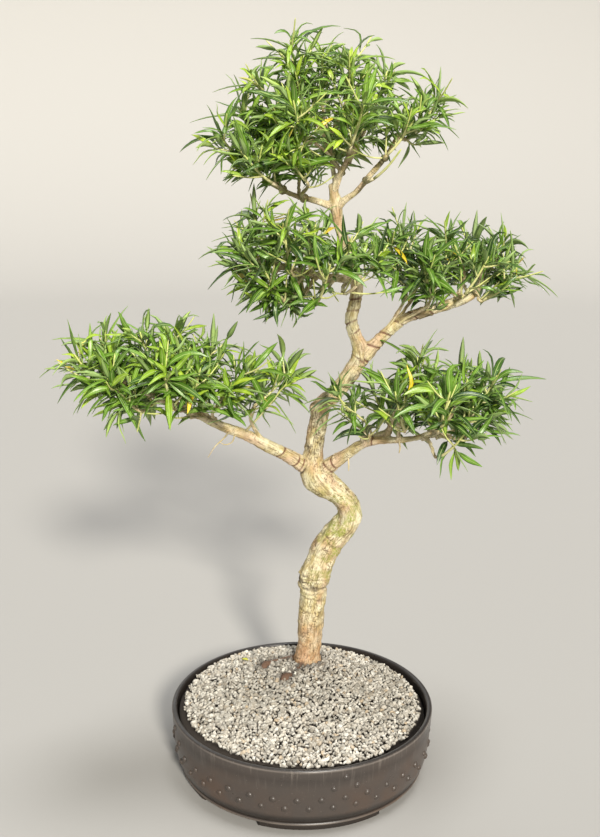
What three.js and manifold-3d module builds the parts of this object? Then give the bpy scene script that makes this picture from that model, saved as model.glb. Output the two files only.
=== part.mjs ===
// Willow leaf ficus bonsai in its round pot. Millimetres, +Z up.
// The origin is the middle of the pot's footprint, on the surface that its feet stand on.
import * as THREE from 'three';
import { mergeVertices } from 'three/addons/utils/BufferGeometryUtils.js';
import Module from 'manifold-3d';

const wasm = await Module();
wasm.setup();

// Driving sizes of the pot
const RIM_HEIGHT = 80;
const RIM_RADIUS = 152.5;
const BASE_RADIUS = 140.5;
const BASE_HEIGHT = 7;
const FLOOR_HEIGHT = 14;
const POT_SIDES = 36;
const FOOT_COUNT = 4;
const FOOT_HALF_ANGLE = THREE.MathUtils.degToRad(29);
const FOOT_RADIUS = 139;
const FOOT_DEPTH = 16;
const FOOT_SINK = 2;
const FOOT_SEGMENTS = 5;
const FIRST_FOOT_ANGLE = THREE.MathUtils.degToRad(-81);
const DRAIN_RADIUS = 11;
const DRAIN_OFFSET = 58;
const DRAIN_SIDES = 10;
const SCREEN_SIZE = 36;
const SCREEN_THICKNESS = 1.2;
const SLOT_COUNT = 4;
const SLOT_MARGIN = 4;
const SLOT_PITCH = 7.5;
const SLOT_WIDTH = 5;

// Outer wall, lip and inner wall as radius and height, from the foot ring to the floor
const POT_WALL = [
  [BASE_RADIUS - 0.6, BASE_HEIGHT],
  [BASE_RADIUS, BASE_HEIGHT + 2],
  [145, 17],
  [148.6, 31],
  [151.2, 56],
  [RIM_RADIUS, RIM_HEIGHT - 3],
  [RIM_RADIUS - 2, RIM_HEIGHT],
  [RIM_RADIUS - 5, RIM_HEIGHT],
  [RIM_RADIUS - 6.6, RIM_HEIGHT - 3],
  [144.4, 44],
  [140, 22],
  [133, FLOOR_HEIGHT],
];

// Driving sizes of the gravel
const SOIL_GAP = 0.35;
const SOIL_PEAK = 96;
const EDGE_DEPTH = 4.5;
const EDGE_TILT = 3.5;
const EDGE_LOW_ANGLE = THREE.MathUtils.degToRad(-25);
const MOUND_POWER = 1.3;
const GRIT_CELL = 22;
const GRIT_SHIFT = 6;
const GRIT_RELIEF = 1.9;

// Driving sizes of the twigs and shoots
const SEAT_GAP = 0.3;
const LIMB_SAMPLES = 40;
const TWIG_STEP_BACK = 0.5;
const TWIG_REACH = 0.38;
const TWIG_SIDES = 4;
const TWIG_RADII = [2.3, 1.9, 1.5];
const SHOOT_LIFT = 0.45;
const SHOOT_RISE = 0.5;
const SHOOT_LENGTH = 40;
const SHOOT_VARIATION = 0.15;
const SHOOT_TAPER = 0.3;
const HEAD_SHARE = 0.65;
const SHOOT_HALF_WIDTH = 1.2;
const NODE_LENGTH = 2.4;
const LEAVES_ON_NODE = [2, 3, 3];
const LEVELS = LEAVES_ON_NODE.length;
const GOLDEN_ANGLE = THREE.MathUtils.degToRad(137.5);

// Driving sizes of the leaves
const LEAF_LENGTH = 50;
const LEAF_WIDTH = 8.6;
const RIB_THICKNESS = 1.1;
const LEAF_FOLD = 0.16;
const LEAF_STATIONS = [
  [0.36, 1],
  [0.74, 0.66],
];
const FIRST_LEAN = 90;
const LEAN_STEP = 19;
const TIP_LEAN = 22;
const TIP_SHARE = 0.78;
const DROOP = 0.8;
const LEAF_SPREAD = { swing: 0.12, lean: 9, roll: 0.4, length: 0.2, width: 0.12, droop: 0.4 };
const LEAF_TRIES = 9;
const TRY_SWING = 0.16;
const SHORT_FROM_TRY = 6;
const SHORT_SHARE = 0.72;
const OFF_SEAT = 0.1;
const SEED = 594;

// Limbs as lists of x, y, z and radius, from the root end out
const TRUNK_FOOT = [6, 74];
const LIMBS = {
  trunk: {
    sides: 9,
    route: [
      [...TRUNK_FOOT, 66, 16], [...TRUNK_FOOT, 88, 18.5], [6, 73, 101, 16.4], [9, 71, 122, 15.3],
      [10, 68, 151, 15.7], [13, 64, 184, 15], [15, 60, 212, 17], [21, 56, 233, 16],
      [29, 53, 253, 15.8], [41, 50, 271, 15.2], [52, 47, 286, 14.7], [54, 45, 299, 14.4],
      [49, 44, 311, 14.4], [38, 44, 322, 14.4], [24, 44, 333, 15.6], [13, 44, 347, 14.6],
      [10, 44, 363, 11.9], [13, 43, 384, 10.8], [18, 41, 414, 10], [22, 40, 430, 10.5],
      [37, 37, 451, 9.6], [59, 33, 484, 10], [62, 32, 497, 10.8], [57, 32, 509, 9],
      [53, 32, 527, 7.8], [57, 32, 558, 7.7], [53, 32, 584, 6.2], [36, 30, 630, 5.4],
      [33, 30, 648, 6.2], [32, 29, 664, 4.4], [32, 28, 676, 3.9],
    ],
  },
  left: {
    sides: 6,
    route: [
      [12, 44, 347, 9], [2, 42, 354, 9], [-20, 30, 371, 7.6], [-41, 18, 385, 7], [-66, 5, 402, 6.3],
      [-91, -6, 414, 5.6], [-111, -15, 427, 5], [-146, -31, 447, 4.1], [-169, -40, 460, 3.4],
      [-203, -53, 477, 2.4],
    ],
  },
  low_right: {
    sides: 6,
    route: [
      [13, 44, 345, 7.5], [24, 40, 355, 7.1], [50, 25, 376, 6], [64, 17, 387, 5.6],
      [81, 9, 394, 4.6], [110, -4, 399, 3.5], [125, -9, 403, 3.2], [137, -13, 410, 2.9],
      [152, -14, 423, 2.4],
    ],
  },
  low_right_front: {
    sides: 5,
    route: [[126, -9, 403, 2.7], [147, -17, 408, 2.3], [168, -26, 415, 1.9]],
  },
  up_right: {
    sides: 6,
    route: [
      [61, 32, 494, 8.5], [79, 34, 497, 7.2], [90, 37, 504, 6.6], [106, 42, 520, 6.4],
      [122, 46, 528, 5.8], [153, 52, 537, 5.3], [185, 57, 547, 4.2], [194, 58, 553, 3.4],
    ],
  },
  mid_left: {
    sides: 5,
    route: [
      [56, 32, 571, 5.5], [35, 18, 574, 4.6], [8, 2, 580, 4], [-18, -12, 588, 3.4],
      [-50, -26, 598, 2.6],
    ],
  },
  crown_right: {
    sides: 5,
    route: [
      [33, 30, 650, 4.8], [41, 26, 657, 4.1], [58, 18, 670, 3.5], [72, 8, 690, 3.2],
      [97, -4, 722, 2.5],
    ],
  },
  crown_left: {
    sides: 5,
    route: [[32, 30, 652, 4.4], [11, 24, 655, 3.5], [-12, 12, 660, 3.2], [-45, -5, 678, 2.5]],
  },
  crown_back: {
    sides: 5,
    route: [[32, 29, 668, 3.8], [39, 34, 686, 3.3], [58, 51, 714, 2.5]],
  },
  apex_left: {
    sides: 5,
    route: [[30, 26, 690, 3.2], [14, 16, 712, 2.9], [-9, 5, 726, 2.4]],
  },
  leader: {
    sides: 5,
    route: [[32, 28, 670, 3.9], [31, 26, 688, 3.7], [26, 23, 709, 3.4], [17, 19, 745, 2.8]],
  },
  root_left: {
    sides: 6,
    route: [[0, 76, 96, 4.5], [-14, 77, 97, 4], [-29, 74, 96, 3.6], [-41, 66, 93, 3.6], [-48, 58, 85, 2.6]],
  },
  root_front: {
    sides: 6,
    route: [[4, 66, 96, 4.5], [-8, 60, 94, 3.8], [-20, 55, 92, 3.8], [-29, 48, 84, 2.8]],
  },
};
const BURIED_LIMBS = ['trunk', 'root_left', 'root_front'];

// Leafy pads: the limbs that carry them, the point that their shoots lean away from,
// and the middle of each shoot's head of leaves
const PADS = {
  left: {
    limbs: ['left'],
    heart: [-130, -50, 440],
    heads: [
      [-223, -70, 484], [-206, -48, 500], [-188, -96, 470], [-178, -22, 464], [-163, -66, 505],
      [-140, -100, 485], [-135, -42, 507], [-111, -74, 470], [-101, -16, 490], [-70, -48, 470],
      [-30, -2, 455],
    ],
  },
  low_right: {
    limbs: ['low_right', 'low_right_front'],
    heart: [125, -20, 395],
    heads: [
      [48, -4, 428], [83, 24, 430], [99, -46, 443], [123, -2, 470], [144, -84, 451], [170, 30, 446],
      [194, -28, 452], [201, 12, 418], [159, -62, 406],
    ],
  },
  mid: {
    limbs: ['mid_left', 'trunk'],
    heart: [0, -30, 555],
    heads: [
      [-62, -30, 592], [-50, -6, 624], [-36, -66, 578], [-20, -72, 618], [-4, 12, 578],
      [9, -26, 616], [20, -90, 580], [42, -76, 610], [69, -62, 594],
    ],
  },
  up_right: {
    limbs: ['up_right'],
    heart: [150, 40, 545],
    heads: [
      [93, 18, 600], [114, 76, 602], [128, -4, 578], [156, 52, 590], [190, 96, 588], [188, 14, 577],
      [215, 66, 586], [219, 44, 562],
    ],
  },
  crown: {
    limbs: ['crown_right', 'crown_left', 'crown_back', 'apex_left', 'leader'],
    heart: [22, 10, 685],
    heads: [
      [-74, -18, 703], [-60, 8, 730], [-52, -54, 688], [-30, 24, 702], [-12, -46, 690],
      [-40, -14, 754], [-10, -58, 738], [-15, 4, 799], [16, 38, 789], [44, -12, 783], [78, 36, 764],
      [52, -54, 734], [33, 80, 714], [101, -20, 722], [126, 4, 741], [85, -52, 694],
    ],
  },
};

// Materials
function finish(color, roughness) {
  return new THREE.MeshStandardMaterial({ color, roughness, metalness: 0, flatShading: true });
}

const FINISHES = {
  pot: () => finish(0x4a4441, 0.55),
  screen: () => finish(0x2b2b29, 0.6),
  gravel: () => finish(0xb9b3a6, 0.95),
  bark: () => finish(0xc9b48c, 0.85),
  leaf: () => finish(0x4f7d2c, 0.45),
};

// A repeatable number from 0 to 1 for any list of whole-number keys
function chance(...keys) {
  let h = SEED;
  for (const key of keys) {
    h = Math.imul(h ^ (key + 0x9e3779b9), 0x85ebca6b);
    h ^= h >>> 13;
    h = Math.imul(h, 0xc2b2ae35);
    h ^= h >>> 16;
  }
  return (h >>> 0) / 2 ** 32;
}

function spread(middle, range, ...keys) {
  return middle + range * (2 * chance(...keys) - 1);
}

const point = (x, y, z) => new THREE.Vector3(x, y, z);
const UP = point(0, 0, 1);

// A closed skin over rings of equal count, each turning anticlockwise about the way of travel.
// A ring of one point closes the skin like a cone, and any other end ring gets a flat cap.
class Skin {
  constructor() {
    this.points = [];
    this.faces = [];
  }

  ring(points) {
    const first = this.points.length;
    this.points.push(...points);
    return points.map((_, i) => first + i);
  }

  bridge(lower, upper, skipped = new Set()) {
    const count = Math.max(lower.length, upper.length);
    for (let i = 0; i < count; i++) {
      if (skipped.has(i)) continue;
      const j = (i + 1) % count;
      if (lower.length === 1) this.faces.push([lower[0], upper[j], upper[i]]);
      else if (upper.length === 1) this.faces.push([lower[i], lower[j], upper[0]]);
      else this.faces.push([lower[i], lower[j], upper[j]], [lower[i], upper[j], upper[i]]);
    }
  }

  cap(ring) {
    for (let i = 1; i < ring.length - 1; i++) this.faces.push([ring[0], ring[i], ring[i + 1]]);
  }

  geometry() {
    const geometry = new THREE.BufferGeometry();
    const places = this.points.flatMap((p) => p.toArray());
    geometry.setAttribute('position', new THREE.Float32BufferAttribute(places, 3));
    geometry.setIndex(this.faces.flat());
    return geometry;
  }
}

function skinOver(rings) {
  const skin = new Skin();
  const placed = rings.map((ring) => skin.ring(ring));
  for (let i = 1; i < placed.length; i++) skin.bridge(placed[i - 1], placed[i]);
  skin.cap([...placed[0]].reverse());
  skin.cap(placed.at(-1));
  return skin;
}

function solidOf(geometry) {
  const bare = geometry.clone();
  bare.deleteAttribute('normal');
  bare.deleteAttribute('uv');
  const merged = mergeVertices(bare, 1e-4);
  return new wasm.Manifold(new wasm.Mesh({
    numProp: 3,
    vertProperties: new Float32Array(merged.attributes.position.array),
    triVerts: new Uint32Array(merged.index.array),
  }));
}

function geometryOf(solid) {
  const mesh = solid.getMesh();
  const geometry = new THREE.BufferGeometry();
  geometry.setAttribute('position', new THREE.Float32BufferAttribute(mesh.vertProperties, 3));
  geometry.setIndex(Array.from(mesh.triVerts));
  return geometry;
}

function piece(name, geometry, material) {
  const mesh = new THREE.Mesh(geometry, material);
  mesh.name = name;
  return mesh;
}

function circle(radius, height, sides) {
  return Array.from({ length: sides }, (_, i) => {
    const angle = (2 * Math.PI * i) / sides;
    return point(radius * Math.cos(angle), radius * Math.sin(angle), height);
  });
}

// Pot: a turned bowl on four low curved feet, with two drain holes
function makeFoot(angle) {
  const outline = new THREE.Shape();
  outline.absarc(0, 0, FOOT_RADIUS, angle - FOOT_HALF_ANGLE, angle + FOOT_HALF_ANGLE, false);
  outline.absarc(0, 0, FOOT_RADIUS - FOOT_DEPTH, angle + FOOT_HALF_ANGLE, angle - FOOT_HALF_ANGLE, true);
  const depth = BASE_HEIGHT + FOOT_SINK;
  const settings = { depth, bevelEnabled: false, curveSegments: FOOT_SEGMENTS };
  return solidOf(new THREE.ExtrudeGeometry(outline, settings));
}

function makeDrain(side) {
  const bore = new THREE.CylinderGeometry(DRAIN_RADIUS, DRAIN_RADIUS, 2 * FLOOR_HEIGHT, DRAIN_SIDES);
  bore.rotateX(Math.PI / 2);
  bore.translate(side * DRAIN_OFFSET, 0, FLOOR_HEIGHT);
  return solidOf(bore);
}

function makePot() {
  const wall = POT_WALL.map(([radius, height]) => circle(radius, height, POT_SIDES));
  const rings = [[point(0, 0, BASE_HEIGHT)], ...wall, [point(0, 0, FLOOR_HEIGHT)]];
  let bowl = solidOf(skinOver(rings).geometry());
  for (let i = 0; i < FOOT_COUNT; i++) {
    bowl = bowl.add(makeFoot(FIRST_FOOT_ANGLE + (2 * Math.PI * i) / FOOT_COUNT));
  }
  for (const side of [-1, 1]) bowl = bowl.subtract(makeDrain(side));
  return geometryOf(bowl);
}

// Drain screens: square plates with slots, lying on the pot's floor over the holes
function makeScreen(side) {
  const height = FLOOR_HEIGHT + SEAT_GAP + SCREEN_THICKNESS / 2;
  const plate = new THREE.BoxGeometry(SCREEN_SIZE, SCREEN_SIZE, SCREEN_THICKNESS);
  plate.translate(side * DRAIN_OFFSET, 0, height);
  let screen = solidOf(plate);
  for (let i = 0; i < SLOT_COUNT; i++) {
    const slot = new THREE.BoxGeometry(SLOT_WIDTH, SCREEN_SIZE - 2 * SLOT_MARGIN, 2 * SCREEN_THICKNESS);
    slot.translate(side * DRAIN_OFFSET + (i - (SLOT_COUNT - 1) / 2) * SLOT_PITCH, 0, height);
    screen = screen.subtract(solidOf(slot));
  }
  return geometryOf(screen);
}

// The wall that the gravel stops at, for a direction from the middle of the pot
function soilEdge(angle) {
  return RIM_HEIGHT - EDGE_DEPTH - EDGE_TILT * Math.cos(angle - EDGE_LOW_ANGLE);
}

// Gravel heaps up in a low mound from the wall to the foot of the trunk
function soilHeight(share, angle) {
  const edge = soilEdge(angle);
  return edge + (SOIL_PEAK - edge) * (1 - share ** MOUND_POWER);
}

// How far a point lies on its way from the trunk to the wall, and in which direction
function soilPlace(x, y, wallRadius) {
  const [footX, footY] = TRUNK_FOOT;
  const distance = Math.hypot(x - footX, y - footY);
  const angle = Math.atan2(y - footY, x - footX);
  const along = footX * Math.cos(angle) + footY * Math.sin(angle);
  const reach = -along + Math.sqrt(along ** 2 + wallRadius ** 2 - footX ** 2 - footY ** 2);
  const wallAngle = Math.atan2(footY + reach * Math.sin(angle), footX + reach * Math.cos(angle));
  return [Math.min(distance / reach, 1), wallAngle];
}

// The gravel: a block whose top is a field of uneven facets, cut to the bowl's inner wall
function makeSoil(buried) {
  const wall = POT_WALL.slice(-4).map(([radius, height]) => [radius - SOIL_GAP, height + SEAT_GAP]);
  const [wallRadius, wallHeight] = wall[0];
  const rings = wall.toReversed().map(([radius, height]) => circle(radius, height, POT_SIDES));
  rings.push(circle(wallRadius, 2 * wallHeight, POT_SIDES));
  const cells = Math.ceil((2 * RIM_RADIUS) / GRIT_CELL);
  const field = new THREE.BoxGeometry(cells * GRIT_CELL, cells * GRIT_CELL, wallHeight, cells, cells, 1);
  field.translate(0, 0, wallHeight / 2);
  const places = field.attributes.position;
  for (let i = 0; i < places.count; i++) {
    if (places.getZ(i) < wallHeight / 2) continue;
    const [column, row] = [places.getX(i), places.getY(i)].map((value) => Math.round(value / GRIT_CELL * 2));
    const x = places.getX(i) + spread(0, GRIT_SHIFT, 1, column, row);
    const y = places.getY(i) + spread(0, GRIT_SHIFT, 2, column, row);
    const relief = spread(0, GRIT_RELIEF, 3, column, row);
    places.setXYZ(i, x, y, soilHeight(...soilPlace(x, y, wallRadius)) + relief);
  }
  let soil = solidOf(field).intersect(solidOf(skinOver(rings).geometry()));
  for (const limb of buried) soil = soil.subtract(limb);
  for (const side of [-1, 1]) {
    const size = SCREEN_SIZE + 2 * SOIL_GAP;
    const pocket = new THREE.BoxGeometry(size, size, 2 * (SEAT_GAP + SCREEN_THICKNESS + SOIL_GAP));
    pocket.translate(side * DRAIN_OFFSET, 0, FLOOR_HEIGHT);
    soil = soil.subtract(solidOf(pocket));
  }
  return geometryOf(soil);
}

// Rings along a curve, carried on without twist, for a list of places and radii on it
function ringsAlong(curve, places, radii, sides) {
  let across = null;
  return places.map((place, i) => {
    const along = curve.getTangent(place);
    if (across === null) across = Math.abs(along.z) < 0.9 ? UP.clone() : point(1, 0, 0);
    across.addScaledVector(along, -across.dot(along)).normalize();
    const over = along.clone().cross(across);
    const middle = curve.getPoint(place);
    return Array.from({ length: sides }, (_, k) => {
      const angle = (2 * Math.PI * k) / sides;
      return middle.clone()
        .addScaledVector(across, radii[i] * Math.cos(angle))
        .addScaledVector(over, radii[i] * Math.sin(angle));
    });
  });
}

function limbCurve(name) {
  const points = LIMBS[name].route.map(([x, y, z]) => point(x, y, z));
  return new THREE.CatmullRomCurve3(points, false, 'centripetal');
}

function makeLimb(name, growth = 0) {
  const { route, sides } = LIMBS[name];
  const places = route.map((_, i) => i / (route.length - 1));
  const radii = route.map(([, , , radius]) => radius + growth);
  return skinOver(ringsAlong(limbCurve(name), places, radii, sides));
}

// A shoot grows away from the heart of its pad and a little upwards
function shootDirection(pad, head) {
  return head.clone().sub(point(...pad.heart)).normalize().addScaledVector(UP, SHOOT_LIFT).normalize();
}

// The shoot begins below its head, where its twig ends
function shootBase(pad, head) {
  return head.clone().addScaledVector(shootDirection(pad, head), -HEAD_SHARE * SHOOT_LENGTH);
}

// A twig leaves the nearest limb some way back from the shoot and bends into the shoot's direction
function makeTwig(pad, head) {
  const base = shootBase(pad, head);
  let best = { distance: Infinity };
  for (const name of pad.limbs) {
    const curve = limbCurve(name);
    for (let i = 0; i <= LIMB_SAMPLES; i++) {
      const distance = curve.getPoint(i / LIMB_SAMPLES).distanceTo(base);
      if (distance < best.distance) best = { distance, curve, place: i / LIMB_SAMPLES };
    }
  }
  const step = (TWIG_STEP_BACK * best.distance) / best.curve.getLength();
  const start = Math.min(Math.max(best.place - step, 0.02), 0.97);
  const from = best.curve.getPoint(start);
  const reach = TWIG_REACH * from.distanceTo(base);
  const leave = best.curve.getTangent(start).add(base.clone().sub(from).normalize()).normalize();
  const arrive = shootDirection(pad, head);
  const curve = new THREE.CubicBezierCurve3(
    from,
    from.clone().addScaledVector(leave, reach),
    base.clone().addScaledVector(arrive, -reach),
    base,
  );
  return skinOver(ringsAlong(curve, [0, 0.5, 1], TWIG_RADII, TWIG_SIDES));
}

// Skins that later leaves have to keep clear of, with their boxes, faces and edges
const occupied = [];

function obstacle(skin) {
  const faces = skin.faces.map((face) => face.map((i) => skin.points[i]));
  const edges = skin.faces.flatMap(([a, b, c]) => [[a, b], [b, c], [c, a]])
    .filter(([a, b]) => a < b)
    .map(([a, b]) => new THREE.Line3(skin.points[a], skin.points[b]));
  const box = new THREE.Box3().setFromPoints(skin.points).expandByScalar(0.4);
  return { faces, edges, box };
}

const sight = new THREE.Ray();
const hit = new THREE.Vector3();

function pierces(one, other) {
  return one.edges.some((edge) => {
    const length = edge.distance();
    edge.delta(sight.direction).divideScalar(length);
    sight.origin.copy(edge.start);
    return other.faces.some(([a, b, c]) => (
      sight.intersectTriangle(a, b, c, false, hit) !== null && hit.distanceTo(edge.start) <= length
    ));
  });
}

function isClear(candidate) {
  return !occupied.some((other) => (
    candidate.box.intersectsBox(other.box) && (pierces(candidate, other) || pierces(other, candidate))
  ));
}

// One lance-shaped leaf: four-cornered sections, folded up along the rib, along a drooping arc.
// Each later try swings it round the shoot, and the last ones are shorter.
function leafRings(root, along, outward, keys, attempt) {
  const [spray, level, slot] = keys;
  const traits = Object.keys(LEAF_SPREAD);
  const draw = (middle, trait) => (
    spread(middle, LEAF_SPREAD[trait], 2, spray, level, slot, traits.indexOf(trait) + 10 * attempt)
  );
  const swing = Math.ceil(attempt / 2) * (attempt % 2 === 0 ? TRY_SWING : -TRY_SWING) + draw(0, 'swing');
  const side = outward.clone().applyAxisAngle(along, swing);
  const tip = level === LEVELS;
  const lean = THREE.MathUtils.degToRad(draw(tip ? TIP_LEAN : FIRST_LEAN - LEAN_STEP * level, 'lean'));
  const way = along.clone().multiplyScalar(Math.cos(lean)).addScaledVector(side, Math.sin(lean));
  const face = along.clone().multiplyScalar(Math.sin(lean)).addScaledVector(side, -Math.cos(lean));
  face.applyAxisAngle(way, draw(0, 'roll'));
  const short = (attempt < SHORT_FROM_TRY ? 1 : SHORT_SHARE) * (tip ? TIP_SHARE : 1);
  const length = LEAF_LENGTH * draw(1, 'length') * short;
  const width = LEAF_WIDTH * draw(1, 'width');
  const droop = draw(DROOP, 'droop');
  const middle = root.clone();
  let reached = 0;
  const rings = [];
  for (const [station, share] of [...LEAF_STATIONS, [1, 0]]) {
    const bend = (droop * (reached + station)) / 2;
    const step = way.clone().addScaledVector(UP, -bend).normalize();
    middle.addScaledVector(step, length * (station - reached));
    reached = station;
    const over = face.clone().addScaledVector(step, -face.dot(step)).normalize();
    const across = over.clone().cross(step);
    const half = (width * share) / 2;
    rings.push(share === 0 ? [middle.clone()] : [
      middle.clone().addScaledVector(over, -RIB_THICKNESS / 2),
      middle.clone().addScaledVector(across, half).addScaledVector(over, LEAF_FOLD * 2 * half),
      middle.clone().addScaledVector(over, RIB_THICKNESS / 2),
      middle.clone().addScaledVector(across, -half).addScaledVector(over, LEAF_FOLD * 2 * half),
    ]);
  }
  return rings;
}

// Every ring of a leaf, turned so that its corners join those of its seat with the least twist
function alignedTo(seat, rings) {
  const turns = seat.map((_, shift) => (ring) => [...ring.slice(shift), ...ring.slice(0, shift)]);
  const twist = (turn) => turn(rings[0]).reduce((sum, p, i) => sum + p.distanceToSquared(seat[i]), 0);
  const best = turns.reduce((kept, turn) => (twist(turn) < twist(kept) ? turn : kept));
  return rings.map((ring) => (ring.length === 1 ? ring : best(ring)));
}

// A leafy shoot: a square green stem with three nodes, whose faces carry the leaves.
// The stem stands before any leaf grows, so that leaves keep clear of every stem.
class Shoot {
  constructor(pad, head, number) {
    const direction = shootDirection(pad, head);
    const start = shootBase(pad, head).addScaledVector(direction, SEAT_GAP);
    const length = SHOOT_LENGTH * spread(1, SHOOT_VARIATION, 4, number);
    const bend = start.clone().addScaledVector(direction, length / 2);
    const rise = direction.clone().addScaledVector(UP, SHOOT_RISE).normalize();
    this.number = number;
    const end = bend.clone().addScaledVector(rise, length / 2);
    this.curve = new THREE.QuadraticBezierCurve3(start, bend, end);
    this.places = [0];
    for (let level = 1; level <= LEVELS; level++) {
      this.places.push(level / LEVELS - NODE_LENGTH / length, level / LEVELS);
    }
    const radii = this.places.map((place) => Math.SQRT2 * SHOOT_HALF_WIDTH * (1 - SHOOT_TAPER * place));
    const rings = ringsAlong(this.curve, this.places, radii, 4);
    occupied.push(obstacle(skinOver(rings)));
    this.skin = new Skin();
    this.stem = rings.map((ring) => this.skin.ring(ring));
  }

  // The side of the stem that the first leaf faces, square to the stem at a place on it
  sideways(index) {
    const corner = this.skin.points[this.stem[index][0]];
    return corner.clone().sub(this.curve.getPoint(this.places[index])).normalize();
  }

  // Tries leaves on a seat of four corners until one is clear, and says whether one grew
  growLeaf(seat, along, outward, level, slot) {
    const corners = seat.map((i) => this.skin.points[i]);
    const root = corners.reduce((sum, p) => sum.add(p), point(0, 0, 0)).divideScalar(corners.length);
    for (let attempt = 0; attempt < LEAF_TRIES; attempt++) {
      const keys = [this.number, level, slot];
      const leaf = alignedTo(corners, leafRings(root, along, outward, keys, attempt));
      const offSeat = corners.map((p, i) => p.clone().lerp(leaf[0][i], OFF_SEAT));
      const test = obstacle(skinOver([offSeat, ...leaf]));
      if (!isClear(test)) continue;
      occupied.push(test);
      leaf.reduce((previous, points) => {
        const ring = this.skin.ring(points);
        this.skin.bridge(previous, ring);
        return ring;
      }, seat);
      return true;
    }
    return false;
  }

  // Leaves go round a node by the golden angle, each on the free face that it looks away from
  growNode(level) {
    const [lower, upper] = [this.stem[2 * level + 1], this.stem[2 * level + 2]];
    const along = this.curve.getTangent(this.places[2 * level + 2]);
    const middle = [...lower, ...upper]
      .reduce((sum, i) => sum.add(this.skin.points[i]), point(0, 0, 0)).divideScalar(8);
    const start = 2 * Math.PI * chance(5, this.number);
    const taken = new Set();
    for (let slot = 0; slot < LEAVES_ON_NODE[level]; slot++) {
      const turn = start + (3 * level + slot) * GOLDEN_ANGLE;
      const outward = this.sideways(2 * level + 1).applyAxisAngle(along, turn);
      const facing = (i) => {
        const across = this.skin.points[lower[i]].clone().add(this.skin.points[upper[(i + 1) % 4]]);
        return across.divideScalar(2).sub(middle).normalize().dot(outward);
      };
      const free = [0, 1, 2, 3].filter((i) => !taken.has(i));
      const face = free.reduce((best, i) => (facing(i) > facing(best) ? i : best));
      const next = (face + 1) % 4;
      const seat = [lower[face], lower[next], upper[next], upper[face]];
      if (this.growLeaf(seat, along, outward, level, slot)) taken.add(face);
    }
    this.skin.bridge(lower, upper, taken);
  }

  geometry() {
    this.skin.cap([...this.stem[0]].reverse());
    for (let level = 0; level < LEVELS; level++) {
      this.skin.bridge(this.stem[2 * level], this.stem[2 * level + 1]);
      this.growNode(level);
    }
    const tip = this.stem.at(-1);
    const grown = this.growLeaf(tip, this.curve.getTangent(1), this.sideways(2 * LEVELS), LEVELS, 0);
    if (!grown) this.skin.cap(tip);
    return this.skin.geometry();
  }
}

// Everything together
const bonsai = new THREE.Group();
bonsai.add(piece('pot', makePot(), FINISHES.pot()));
bonsai.add(piece('drain_screen_left', makeScreen(-1), FINISHES.screen()));
bonsai.add(piece('drain_screen_right', makeScreen(1), FINISHES.screen()));

const limbs = Object.keys(LIMBS).map((name) => makeLimb(name));
const twigs = Object.values(PADS).flatMap((pad) => pad.heads.map((head) => makeTwig(pad, point(...head))));
const branching = [...limbs, ...twigs];
occupied.push(...branching.map((skin) => obstacle(skin)));
const wood = branching.map((skin) => solidOf(skin.geometry())).reduce((sum, solid) => sum.add(solid));
bonsai.add(piece('trunk_and_branches', geometryOf(wood), FINISHES.bark()));

const buried = BURIED_LIMBS.map((name) => solidOf(makeLimb(name, SOIL_GAP).geometry()));
bonsai.add(piece('gravel', makeSoil(buried), FINISHES.gravel()));

const shoots = Object.entries(PADS).flatMap(([name, pad]) => pad.heads.map((head, i) => ({
  name: `spray_${name}_${String(i + 1).padStart(2, '0')}`,
  pad,
  head: point(...head),
})));
const grown = shoots.map(({ pad, head }, number) => new Shoot(pad, head, number));
shoots.forEach(({ name }, i) => bonsai.add(piece(name, grown[i].geometry(), FINISHES.leaf())));

export default bonsai;
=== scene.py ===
"""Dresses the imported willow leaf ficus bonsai: fired clay, grit, bark and leaves.

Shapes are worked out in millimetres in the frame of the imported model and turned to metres
when a mesh is made. +Z is up, the origin is the middle of the pot's footprint on the
table, and -Y looks towards the viewer.
"""

import logging
import math
from dataclasses import dataclass
from enum import Enum
from functools import reduce
from itertools import combinations, product
from typing import ClassVar

import bpy
import numpy as np
from mathutils import Matrix


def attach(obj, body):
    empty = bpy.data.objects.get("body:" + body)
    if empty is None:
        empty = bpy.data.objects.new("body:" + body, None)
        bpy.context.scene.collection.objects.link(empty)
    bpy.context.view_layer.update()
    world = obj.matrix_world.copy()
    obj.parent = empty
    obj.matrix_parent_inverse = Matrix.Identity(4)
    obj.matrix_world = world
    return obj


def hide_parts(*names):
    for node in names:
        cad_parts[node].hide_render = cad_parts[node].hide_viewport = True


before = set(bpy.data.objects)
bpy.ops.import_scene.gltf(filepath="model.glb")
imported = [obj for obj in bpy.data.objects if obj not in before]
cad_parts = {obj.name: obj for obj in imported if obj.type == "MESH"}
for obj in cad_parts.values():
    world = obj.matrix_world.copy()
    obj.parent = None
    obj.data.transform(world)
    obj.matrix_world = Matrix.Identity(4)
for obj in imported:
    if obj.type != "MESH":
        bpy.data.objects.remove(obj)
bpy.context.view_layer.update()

Array = np.ndarray
Material = bpy.types.Material
Mesh = bpy.types.Mesh
Rgba = tuple[float, float, float, float]
Socket = bpy.types.NodeSocket
Tree = bpy.types.NodeTree

LOG = logging.getLogger("bonsai")
MM = 0.001
SEED = 594
UP = np.array([0.0, 0.0, 1.0])
GOLDEN_ANGLE = math.radians(137.5)


# Numbers and curves


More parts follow.
